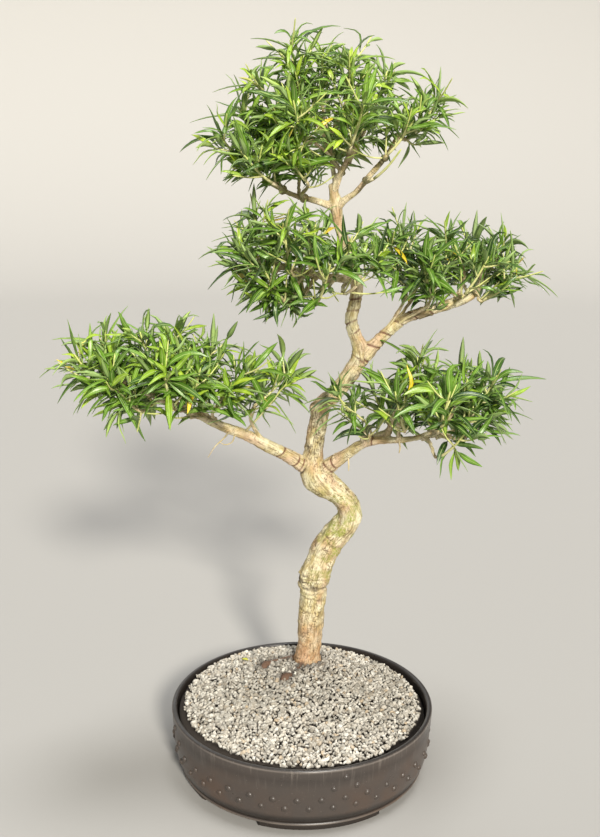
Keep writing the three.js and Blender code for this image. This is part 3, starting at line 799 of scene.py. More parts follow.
@dataclass
class Pot:
    """Turned bowl with a lip, a bead round its foot, studs, and four low curved feet."""

    sides: int = 144
    wall: tuple = ((137.0, 7.6), (139.6, 7.0), (141.7, 7.4), (142.5, 8.5), (142.1, 9.6), (141.0, 10.3),
        (141.4, 11.2), (142.9, 13.6), (145.0, 17.4), (147.2, 23.6), (148.6, 31.0), (149.9, 43.0),
        (151.2, 57.0), (151.9, 67.0), (152.2, 74.0), (152.5, 76.4), (152.5, 78.4), (151.9, 79.5),
        (150.6, 80.0), (148.6, 80.0), (147.4, 79.6), (146.6, 78.6), (146.0, 76.0), (145.6, 70.0),
        (144.4, 44.0), (142.8, 31.0), (140.0, 22.0), (137.0, 17.0), (133.0, 14.2), (128.0, 14.0))
    outer_wall: tuple = (6, 19)
    drain_radius: float = 11.0
    drain_offset: float = 58.0
    drill_heights: tuple = (2.0, 20.0)
    drill_sides: int = 40
    foot_count: int = 4
    first_foot: float = math.radians(-81.0)
    foot_half: float = math.radians(29.0)
    foot_radius: float = 139.2
    foot_depth: float = 16.0
    foot_top: float = 9.0
    foot_rings: int = 28
    foot_corners: int = 20
    foot_end: float = 0.07
    stud_pitch: float = math.radians(10.0)
    stud_rows: tuple = ((43.2, -91.9), (32.4, -87.0))
    stud_groups: int = 4
    group_studs: tuple = ((-5.0, 56.2), (5.0, 56.2), (0.0, 68.6))
    first_group: float = -72.0
    stud_radius: float = 3.5
    stud_height: float = 2.3
    stud_sides: int = 14
    stud_rise: tuple = (-0.35, 0.12, 0.5, 0.82, 0.97, 1.0)
    stud_width: tuple = (1.12, 1.0, 0.86, 0.57, 0.25, 0.04)
    stud_highlight: tuple = (0.0, 0.12, 0.1, 0.04, 0.0, 0.0)

    def bowl(self) -> Mesh:
        """Turns the wall round the axis and drills the two drain holes.

        Every ring is the circle of one profile point, and the two flat ends close the
        underside and the floor.

        Returns:
            The bowl's mesh, with the rubbed edges and painted highlight of its lip and bead.
        """
        profile = np.array(self.wall)
        rings = about_axis(profile[:, :1], turns(self.sides), profile[:, 1:])[None]
        mesh = Skin.over_rings(rings).mesh("pot_bowl")
        for side in (-1.0, 1.0):
            line = np.array([[[side * self.drain_offset, 0.0, height] for height in self.drill_heights]])
            radii = np.full((1, 2), self.drain_radius)
            drill, _ = round_rings(line, radii, self.drill_sides, np.array([1.0, 0.0, 0.0]))
            cutter = placed("drill", Skin.over_rings(drill).mesh("drill"))
            mesh = changed(mesh, "BOOLEAN", operation="DIFFERENCE", object=cutter, solver="EXACT")
            bpy.data.objects.remove(cutter)
        set_values(mesh, self.rubs_highlights_shade_and_stains(read_points(mesh) / MM))
        return mesh

    @staticmethod
    def rubs_highlights_shade_and_stains(points: Array) -> dict[str, Array]:
        """Works out where the clay is painted pale and where it is painted dark.

        The outer edges of the lip and the bead are painted pale, as rubbed clay and as a
        painted highlight, by a bell curve of the height and in patches. The lip's inner
        half and the inside take stains from wet soil, and the underside is painted dark as
        painted shade.

        Args:
            points: Points of the bowl.

        Returns:
            Both values for each point.
        """
        radius, height = np.hypot(points[:, 0], points[:, 1]), points[:, 2]
        lip = 0.6 * bell(height, 78.4, 0.8) * (radius > 152.0)
        bead = bell(height, 8.9, 0.6) * (radius > 140.6)
        patchy = 0.65 + 0.35 * noise(points, 14.0, 11)
        lip_top = smooth_step(-radius, -152.3, -151.4) * (height > 60.0)
        # The underside below the bead is painted dark as painted shade; the lip's inner half and the inside
        # take stains
        inner = lip_top + (height < 7.8) + (radius < 147.0) * (height > 10.0)
        # The lip's outer edge and the bead are painted pale: rubbed clay and painted highlight
        worn = np.clip(patchy * (0.8 * lip + 0.6 * bead), 0.0, 1.0)
        return {"worn": worn, "inner": 0.85 * np.clip(inner, 0.0, 1.0)}

    @staticmethod
    def squared(wave: Array) -> Array:
        """Returns a sine or cosine pushed towards -1 and 1, which squares a round section."""
        return np.sign(wave) * np.abs(wave) ** 0.3

    def feet(self) -> Skin:
        """Bends a rounded bar under the wall for each foot.

        The bar's section is a rounded box in radius and height, carried round the axis,
        and it narrows over the last 2 mm at both ends.

        Returns:
            The skin of the four feet.
        """
        turn = np.linspace(-1.0, 1.0, self.foot_rings)
        angle = (self.first_foot + turns(self.foot_count))[:, None] + turn * self.foot_half
        ends = np.clip((np.abs(turn) - (1.0 - self.foot_end)) / self.foot_end, 0.0, 1.0)
        shrink = 1.0 - self.foot_end * ends**2
        around = turns(self.foot_corners)
        half = self.foot_depth / 2
        out = self.foot_radius - half - shrink[:, None] * self.squared(np.cos(around)) * half
        high = self.foot_top * (0.5 + 0.5 * self.squared(np.sin(around)))
        rings = about_axis(out, angle[..., None], high)
        shape = rings.shape[:3]
        # The feet are painted dark with the stain colour, as painted shade under the bowl
        return Skin.over_rings(rings, worn=np.zeros(shape), inner=np.full(shape, 0.75))

    def studs(self) -> Skin:
        """Sets small domes on the wall: two staggered rows, and groups of three above them.

        A dome's rings follow a quarter circle pressed flat, square to the wall.

        Returns:
            The skin of the studs.
        """
        full = round(2.0 * math.pi / self.stud_pitch)
        rows = [
            (math.radians(start) + self.stud_pitch * np.arange(full), np.full(full, height))
            for height, start in self.stud_rows
        ]
        starts = self.first_group + 360.0 * np.arange(self.stud_groups) / self.stud_groups
        rows += [(np.radians(starts + turn), np.full(len(starts), high)) for turn, high in self.group_studs]
        angle, height = (np.concatenate(column) for column in zip(*rows))
        wall_radius, wall_height = np.array(self.wall[slice(*self.outer_wall)]).T
        below, radius, above = (np.interp(height + step, wall_height, wall_radius) for step in (-1, 0, 1))
        outward = unit(about_axis(1.0, angle, (below - above) / 2))
        size = spread(1.0, 0.1, 12, np.arange(len(angle)))[:, None]
        rise = (size * np.array(self.stud_rise))[..., None] * self.stud_height
        lines = about_axis(radius, angle, height)[:, None] + outward[:, None] * rise
        radii = size * np.array(self.stud_width) * self.stud_radius
        rings, _ = round_rings(lines, radii, self.stud_sides, UP)
        # A pale ring on each stud is a painted highlight, and the studs are painted darker as painted shade
        worn = np.broadcast_to(np.array(self.stud_highlight)[None, :, None], rings.shape[:3])
        return Skin.over_rings(rings, worn=worn, inner=np.full(worn.shape, 0.3))

    def build(self, clay: Material, screens: Material) -> None:
        """Puts the pot's pieces into the scene and dresses the drain screens."""
        for mesh in (self.bowl(), self.feet().mesh("pot_feet"), self.studs().mesh("pot_studs")):
            show(mesh, clay, ["pot"])
        for node in ("drain_screen_left", "drain_screen_right"):
            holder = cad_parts[node]
            holder.data.materials.clear()
            holder.data.materials.append(screens)


# The grit


@dataclass
class GritBed:
    """Mound of grit from the pot's wall to the foot of the trunk, with loose grains on it."""

    trunk_foot: tuple = (6.0, 74.0)
    wall_radius: float = 144.0
    rim_height: float = 80.0
    peak: float = 96.0
    edge_depth: float = 3.2
    edge_tilt: float = 3.5
    low_angle: float = math.radians(-25.0)
    mound_power: float = 1.3
    slump: float = 1.5
    slump_width: float = 10.0
    bed_sides: int = 120
    bed_rings: int = 40
    bed_depth: float = 4.4
    buried_rings: tuple = ((132.0, 14.4), (139.4, 22.6))
    grain_pitch: float = 4.0
    row_share: float = 0.87
    grain_shift: float = 1.1
    grain_lift: float = 1.6
    grain_radius: float = 2.35
    grain_shape: tuple = (1.3, 0.9, 0.72)
    wall_gap: float = 4.4
    wall_shift: float = 1.8
    pebbles: tuple = ((-49, -56, 5.2), (51, 7, 5.4), (87, -41, 5.6), (-91, -37, 4.8), (18, -96, 4.6),
        (-30, 20, 4.4))

    def reach(self, angle: Array) -> Array:
        """Returns how far the wall is from the trunk's foot in each direction."""
        x, y = self.trunk_foot
        along = x * np.cos(angle) + y * np.sin(angle)
        return -along + np.sqrt(along**2 + self.wall_radius**2 - x**2 - y**2)

    def height(self, x: Array, y: Array) -> Array:
        """Works out the height of the mound.

        The edge is lower to the front right, by a cosine of the angle, and the mound rises
        from it to the peak by one minus a power of the share of the way to the wall.

        Args:
            x: Places to the right.
            y: Places to the back.

        Returns:
            The heights.
        """
        foot_x, foot_y = self.trunk_foot
        angle = np.arctan2(y - foot_y, x - foot_x)
        reach = self.reach(angle)
        share = np.clip(np.hypot(x - foot_x, y - foot_y) / reach, 0.0, 1.0)
        wall = np.arctan2(foot_y + reach * np.sin(angle), foot_x + reach * np.cos(angle))
        edge = self.rim_height - self.edge_depth - self.edge_tilt * np.cos(wall - self.low_angle)
        return edge + (self.peak - edge) * (1.0 - share**self.mound_power)

    def slumped(self, x: Array, y: Array) -> Array:
        """Returns how far the grit has sunk beside the wall."""
        return self.slump * smooth_step(np.hypot(x, y), self.wall_radius - self.slump_width, self.wall_radius)

    def bed(self) -> Skin:
        """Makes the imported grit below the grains, as rings from the floor to the trunk.

        Returns:
            The skin of the bed.
        """
        angle = turns(self.bed_sides)
        outer = [1.0] * (1 + len(self.buried_rings))
        share = np.concatenate([outer, np.linspace(0.985, 0.04, self.bed_rings)])[:, None]
        ways = np.stack([np.cos(angle), np.sin(angle)], axis=-1)
        x, y = np.moveaxis(np.array(self.trunk_foot) + (share * self.reach(angle))[..., None] * ways, -1, 0)
        top = self.height(x, y) - self.bed_depth - self.slumped(x, y)
        points = np.stack([x, y, top], axis=-1)
        points[..., 2] += 0.5 * noise(points, 5.0, 21)
        for ring, (radius, height) in enumerate(self.buried_rings):
            points[ring, :, :2] *= radius / self.wall_radius
            points[ring, :, 2] = height
        tone = np.zeros((1, *top.shape))
        # The whole bed is painted nearly black: painted shade in the gaps between the grains
        return Skin.over_rings(points[None], tone=tone, warmth=tone, damp=tone + 0.96)

    @staticmethod
    def lump() -> tuple[Array, Array]:
        """Returns the twelve corners and twenty faces of a lump, the regular icosahedron."""
        flat = np.array([(0.0, one, 1.618 * other) for one, other in product((-1.0, 1.0), repeat=2)])
        corners = np.vstack([np.roll(flat, turn, axis=1) for turn in range(3)])
        trios = np.array(list(combinations(range(12), 3)))
        edges = corners[trios] - corners[np.roll(trios, 1, axis=1)]
        trios = trios[(np.linalg.norm(edges, axis=-1) < 2.1).all(axis=1)]
        first, second, third = np.moveaxis(corners[trios], 1, 0)
        inward = np.sum(np.cross(second - first, third - first) * first, axis=-1) < 0.0
        trios[inward] = trios[inward, ::-1]
        return unit(corners), trios

    def strewn(self, bare: Array) -> tuple[Array, Array, Array]:
        """Strews grains on a shaken grid, and a few pebbles, none in the trunk or the wall.

        Args:
            bare: Wood that grains keep out of, as rows of x, y, z and radius.

        Returns:
            The middles, sizes and numbers of the grains.
        """
        steps = int(2 * self.wall_radius / self.grain_pitch) + 1
        column, row = np.meshgrid(np.arange(steps), np.arange(int(steps / self.row_share)))
        column, row = column.ravel(), row.ravel()
        across = (column + 0.5 * (row % 2)) * self.grain_pitch
        x = across - self.wall_radius + spread(0.0, self.grain_shift, 31, column, row)
        deep = row * self.grain_pitch * self.row_share
        y = deep - self.wall_radius + spread(0.0, self.grain_shift, 32, column, row)
        size = self.grain_radius * (0.74 + 0.8 * chance(33, column, row) ** 1.7)
        lift = spread(0.0, self.grain_lift, 34, column, row)
        more = np.array(self.pebbles)
        x, y, size = (np.concatenate(pair) for pair in zip((x, y, size), more.T))
        lift = np.concatenate([lift, np.zeros(len(more))])
        z = self.height(x, y) + lift - 0.25 * size - self.slumped(x, y)
        middle = np.stack([x, y, z], axis=-1)
        off_wall = np.hypot(x, y - self.wall_shift) < self.wall_radius - self.wall_gap - 0.75 * size
        keep = off_wall & (clear_of(middle, bare) > 0.2 * size)
        return middle[keep], size[keep], np.flatnonzero(keep)

    def grains(self, bare: Array, roots: Array) -> Skin:
        """Makes the loose grains.

        Each is a lump with its corners pushed about, squeezed along its axes and turned,
        darkened on its underside as painted shade, and wet beside the roots.

        Args:
            bare: Wood that grains keep out of, as rows of x, y, z and radius.
            roots: Wood that makes the grains round it damp, as the same.

        Returns:
            The skin of the grains.
        """
        block, faces = self.lump()
        corners = len(block)
        middle, size, number = self.strewn(bare)
        shaken = spread(0.0, 0.2, 35, number[:, None, None], np.arange(corners)[:, None], np.arange(3))
        shape = [spread(width, 0.2, 36, number, axis) for axis, width in enumerate(self.grain_shape)]
        rough = (block + shaken) * np.stack(shape, axis=-1)[:, None]
        first = unit(scattered(39, number))
        second = square_to(scattered(42, number), first)
        turn = np.stack([first, second, np.cross(first, second)], axis=1)
        points = middle[:, None] + size[:, None, None] * (rough @ turn)
        index = faces[None] + corners * np.arange(len(middle))[:, None, None]
        beyond = np.clip(clear_of(middle, roots) - 1.0, 0.0, None)
        damp = 0.75 * np.exp(-beyond / 6.0) * (chance(45, number) < 0.75)
        white = 0.25 * (chance(47, number) < 0.12)
        tone = np.clip(0.5 + 0.8 * (chance(46, number) - 0.5) + white, 0.0, 1.0)
        warmth = 0.25 * chance(48, number) + 0.6 * (chance(49, number) < 0.05)
        tone, warmth, damp = (np.repeat(value, corners) for value in (tone, warmth, damp))
        # The underside of each grain is painted dark: painted shade
        low = smooth_step(-(points[..., 2] - middle[:, None, 2]) / size[:, None], -0.3, 0.55).ravel()
        values = {"tone": tone, "warmth": warmth, "damp": np.maximum(damp, 0.92 * low)}
        return Skin(points.reshape(-1, 3), [index.reshape(-1, 3)], values)

    def build(self, grit: Material, bare: Array, roots: Array) -> None:
        """Puts the bed and its grains into the scene."""
        show(self.bed().mesh("grit_bed"), grit, ["gravel"])
        show(self.grains(bare, roots).mesh("grit_grains", smooth=False), grit, ["gravel"])


# The wood


@dataclass(frozen=True)
class Limb:
    """One limb, as rows of x, y, z and radius from its root end out."""

    route: tuple

    def samples(self, steps: int = 5) -> Array:
        """Returns points on the limb's middle line with their radii."""
        return smooth_route(np.array(self.route, float), steps)


@dataclass(frozen=True)
class Scar:
    """A groove that training wire left: a ring or a spiral on a limb, partly healed or not."""

    limb: str
    start: float
    turns: float = 1.0
    pitch: float = 0.0
    tilt: float = 0.0
    phase: float = 0.0
    width: float = 1.0
    depth: float = 0.9
    healed: float = 0.0


@dataclass(frozen=True)
class Pad:
    """A leafy pad: its limbs and shoots, and the size, share and lie of its leaves.

    Leaves hang no more than `hang` below the `bare` limbs, and more freely from the share
    `loose_from` of their length on. The wood behind the openings shows: they are rows of
    x, y, z, radius and the share of leaves kept in front. The shoots lean away from the
    heart, the heads are the middles of their leaves, and leaves are lighter by `fresh`.
    """

    name: str
    limbs: tuple
    bare: tuple
    hang: float
    loose_from: float
    openings: tuple
    heart: tuple
    heads: tuple
    leaf_size: float = 1.0
    share: float = 1.0
    fresh: float = 0.0

    def nodes(self) -> list[str]:
        """Returns the names of the pad's CAD nodes."""
        return [f"spray_{self.name}_{i + 1:02d}" for i in range(len(self.heads))]


@dataclass(frozen=True)
class Sprig:
    """A shoot of a pad that starts from bare wood, leafy from a share of its length on."""

    pad: str
    route: tuple
    leafy_from: float


LIMBS = {
    "trunk": Limb(((6, 74, 66, 16), (6, 74, 88, 18.5), (6, 73, 101, 16.4), (9, 71, 122, 15.3),
        (10, 68, 151, 15.7), (13, 64, 184, 15), (15, 60, 212, 17), (21, 56, 233, 16), (29, 53, 253, 15.8),
        (41, 50, 271, 15.2), (52, 47, 286, 14.7), (54, 45, 299, 14.4), (49, 44, 311, 14.4),
        (38, 44, 322, 14.4), (23, 44, 333, 17), (13, 44, 347, 16.4), (11, 44, 363, 12.4),
        (13, 43, 384, 10.8), (17, 41, 412, 10.2), (21, 40, 428, 10.2), (31, 38, 438, 9.4),
        (43, 36, 452, 8.8), (56, 34, 471, 9.2), (63, 33, 484, 9.2), (62, 33, 496, 8.3),
        (55, 32, 513, 7.1), (51.5, 32, 528, 6.8), (55.5, 32, 548, 7.2), (57, 32, 562, 7.4),
        (53, 32, 584, 6.6), (36, 30, 630, 5.8), (33, 30, 648, 6.6), (31, 29, 662, 5.6),
        (28, 28, 674, 3.8))),
    "left": Limb(((12, 44, 347, 9), (2, 42, 354, 9), (-20, 30, 371, 7.6), (-41, 18, 385, 7),
        (-66, 5, 402, 6.3), (-91, -6, 414, 5.6), (-111, -15, 427, 5), (-146, -31, 447, 4.1),
        (-169, -40, 460, 3.4), (-203, -53, 477, 2.4))),
    "low_right": Limb(((10, 44, 338, 9), (26, 39, 354, 8.4), (50, 25, 375, 6.2), (64, 17, 387, 5.6),
        (81, 9, 394, 4.6), (110, -4, 399, 3.5), (125, -9, 403, 3.2), (137, -13, 410, 2.9),
        (152, -14, 423, 2.4))),
    "low_right_front": Limb(((126, -9, 403, 2.7), (147, -17, 408, 2.3), (168, -26, 415, 1.9))),
    "up_right": Limb(((54, 34, 468, 8), (68, 33, 487, 8.7), (80, 34, 501, 7.4), (92, 37, 512, 6.6),
        (112, 42, 527, 6.2), (141, 47, 535.5, 5.9), (168, 52, 543.5, 5.8), (186, 56, 550, 4.8),
        (194, 57, 556, 4))),
    "up_right_end": Limb(((190, 57, 552, 4), (195, 50, 565, 3.4), (198, 44, 585, 2.9), (203, 40, 592, 2.2))),
    "up_right_riser": Limb(((168, 52, 544, 3.6), (173, 47, 558, 2.7), (176, 42, 575, 2.3),
        (172, 38, 588, 2))),
    "low_wedge": Limb(((74, 18, 391, 4.6), (83, 13, 398, 5), (92, 8, 403, 4.8), (96, 2, 413, 3.6),
        (98, -4, 424, 2.3), (101, -10, 436, 2))),
    "low_small": Limb(((104, -2, 398, 3), (104, -8, 411, 2.3), (102, -12, 420, 1.9))),
    "low_riser": Limb(((141, -13, 409, 3.2), (153, -18, 422, 2.8), (161, -24, 438, 2.2),
        (165, -28, 448, 2))),
    "mid_left": Limb(((56, 32, 571, 5.5), (35, 18, 574, 4.6), (8, 2, 580, 4), (-18, -12, 588, 3.4),
        (-50, -26, 598, 2.6))),
    "crown_right": Limb(((32, 30, 645, 4.8), (41, 27, 656, 4.1), (53, 22, 665, 3.5), (67, 14, 682.5, 3.2),
        (82, 6, 701, 2.8), (97, -6, 727, 2.3))),
    "crown_left": Limb(((31, 30, 649, 4.3), (11, 24, 656, 3.3), (-12, 12, 662, 2.9), (-45, -5, 680, 2.4))),
    "crown_back": Limb(((32, 29, 668, 3.4), (39, 36, 686, 2.8), (58, 51, 714, 2.2))),
    "apex_left": Limb(((36, 19, 688, 2.2), (28, 12, 700, 2), (7, 0, 717, 1.9), (-16, -8, 727, 1.8))),
    "leader": Limb(((30, 28, 660, 3.2), (32, 24, 677, 2.8), (39, 18, 690, 2.5), (45, 12, 705, 2.2),
        (51, 7, 718, 2))),
    "top": Limb(((32, 26, 672, 2.8), (27, 24, 700, 2.4), (17, 19, 745, 2))),
    "root_left": Limb(((0, 76, 95, 4.5), (-14, 77, 93, 3.6), (-29, 74, 91.5, 3.2), (-40, 68, 90.5, 4.2),
        (-46, 61, 91, 5.6), (-49, 54, 85, 3.4))),
    "root_front": Limb(((4, 66, 95, 4.5), (-3, 54, 92.5, 3.6), (-11, 40, 90.5, 3.2), (-20, 29, 91.5, 6.2),
        (-24, 19, 85, 4))),
    "root_right": Limb(((8, 70, 92, 7), (19, 62, 90, 4.4), (30, 54, 84, 3))),
    "cut_stub": Limb(((70, 14, 389, 5.2), (68, 10, 397, 5.2), (67, 8, 403, 4.4), (67, 8, 405, 3))),
}
LIMB_NAMES = list(LIMBS)
LIMB_GUIDE = np.array([0.0, 1.0, 0.25])
SURFACE_ROOTS = ("root_left", "root_front", "root_right")

PADS = (
    Pad(
        "left", limbs=("left",), bare=("left",), hang=6.0, loose_from=0.6, share=0.7,
        openings=((-66, 0, 404, 14, 0.2), (-110, -12, 428, 16, 0.35), (-150, -30, 452, 16, 0.4)),
        heart=(-130, -50, 440),
        heads=((-223, -70, 484), (-206, -48, 500), (-188, -96, 470), (-178, -22, 464), (-163, -66, 505),
            (-140, -100, 485), (-135, -42, 507), (-111, -74, 470), (-101, -16, 490), (-70, -48, 470),
            (-30, -2, 455)),
    ),
    Pad(
        "low_right", limbs=("low_right", "low_right_front", "low_wedge", "low_riser"), bare=("low_right",),
        hang=1.0, loose_from=0.8, share=0.82, fresh=-0.13,
        openings=((38, 40, 436, 26, 0.35), (92, 8, 408, 15, 0.1), (101, -8, 432, 14, 0.35),
            (150, -15, 418, 14, 0.3)),
        heart=(125, -20, 395),
        heads=((48, -4, 428), (83, 24, 430), (99, -46, 443), (123, -2, 470), (144, -84, 451),
            (170, 30, 446), (194, -28, 452), (201, 12, 418), (159, -62, 406)),
    ),
    Pad(
        "mid", limbs=("mid_left", "trunk"), bare=("mid_left",), hang=32.0, loose_from=0.55,
        leaf_size=0.84, fresh=-0.1,
        openings=((56, 32, 572, 14, 0.2), (8, 0, 580, 15, 0.15), (32, 16, 573, 13, 0.2),
            (-18, -12, 590, 13, 0.35), (36, 30, 632, 12, 0.3)),
        heart=(0, -30, 555),
        heads=((-62, -30, 592), (-50, -6, 624), (-36, -66, 578), (-20, -72, 618), (-4, 12, 578),
            (9, -26, 616), (20, -90, 580), (42, -76, 610), (69, -62, 594)),
    ),
    Pad(
        "up_right", limbs=("up_right", "up_right_end", "up_right_riser"), bare=("up_right",),
        hang=3.0, loose_from=0.9, leaf_size=0.78, fresh=-0.18,
        openings=((174, 46, 564, 12, 0.25), (196, 48, 574, 13, 0.25)),
        heart=(150, 40, 545),
        heads=((93, 18, 600), (114, 76, 602), (128, -4, 578), (156, 52, 590), (190, 96, 588),
            (188, 14, 577), (215, 66, 586), (219, 44, 562)),
    ),
    Pad(
        "crown", limbs=("crown_right", "crown_left", "crown_back", "apex_left", "leader", "top"),
        bare=("crown_right", "crown_left"), hang=4.0, loose_from=0.9, leaf_size=0.8, fresh=0.03,
        openings=((34, 26, 672, 16, 0.15), (44, 16, 702, 12, 0.4), (72, 10, 690, 14, 0.3),
            (-20, 6, 666, 14, 0.35), (16, 4, 712, 10, 0.45)),
        heart=(22, 10, 685),
        heads=((-74, -18, 703), (-60, 8, 730), (-52, -54, 688), (-30, 24, 702), (-12, -46, 690),
            (-40, -14, 754), (-10, -58, 738), (-15, 4, 799), (16, 38, 789), (44, -12, 783), (78, 36, 764),
            (52, -54, 734), (33, 80, 714), (101, -20, 722), (126, 4, 741), (85, -52, 694)),
    ),
)

SPRIGS = (
    Sprig("left", (
        (-66.5, 2, 404), (-55, -4, 418), (-44, -10, 432), (-35, -15, 444), (-28, -20, 455), (-18, -24, 467),
    ), 0.72),
    Sprig("left", ((-176, -62, 466), (-184, -74, 458), (-192, -80, 446)), 0.3),
    Sprig("low_right", ((76, 12, 399), (71, 2, 414), (57.5, -8, 428), (42, -18, 443), (35, -24, 457)), 0.55),
    Sprig("low_right", ((100, -10, 434), (103, -17, 450), (104, -22, 462)), 0.3),
    Sprig("low_right", ((147, -18, 408), (157, -32, 406), (163, -40, 396)), 0.4),
    Sprig("low_right", ((164, -28, 446), (168, -34, 456), (170, -40, 468)), 0.3),
    Sprig("up_right", ((202, 40, 591), (207, 34, 600), (208, 26, 607)), 0.2),
    Sprig("up_right", ((172, 38, 587), (168, 30, 596), (164, 24, 604)), 0.2),
    Sprig("crown", ((51, 7, 717), (57, 1, 727), (61, -4, 740)), 0.2),
    Sprig("crown", ((-15, -8, 727), (-24, -16, 734), (-30, -22, 744)), 0.2),
)

SCARS = (
    Scar("left", 30, tilt=2.0, phase=0.6),
    Scar("left", 20, tilt=-1.5, phase=1.5, depth=0.6),
    Scar("left", 52, tilt=2.5, phase=2.0, depth=0.5),
    Scar("low_right", 26, tilt=-2.0, phase=0.3),
    Scar("low_right", 38, tilt=2.4, phase=0.4),
    Scar("low_right", 94, tilt=1.5, phase=1.0, depth=0.5, width=0.8),
    Scar("up_right", 22, tilt=2.5, phase=0.5),
    Scar("up_right", 28, turns=5.2, pitch=19.0, depth=0.8),
    Scar("trunk", 466, tilt=5.0, phase=0.4),
    Scar("trunk", 500, turns=3.0, pitch=13.0),
    Scar("trunk", 405, tilt=3.0, phase=0.9, healed=0.45),
    Scar("trunk", 118, tilt=2.5, phase=2.2, depth=1.1, width=0.9, healed=0.3),
    Scar("trunk", 146, tilt=4.0, phase=4.0, depth=1.3, width=0.9, healed=0.4),
    Scar("trunk", 153, tilt=-3.0, phase=1.0, depth=1.1, width=0.8, healed=0.55),
    Scar("trunk", 258, tilt=5.0, phase=1.2, depth=0.8, width=0.8, healed=0.6),
)


@dataclass
class LimbPlaces:
    """Where points of the wood lie on its limbs.

    Each has its limb's number, its place along and across it, the limb's radius there,
    and its distance from where a creased limb joins the trunk.
    """

    number: Array
    local: Array
    radius: Array
    meets: Array

    def on(self, *names: str) -> Array:
        """Tells which points are on the named limbs."""
        return np.isin(self.number, [LIMB_NAMES.index(name) for name in names])


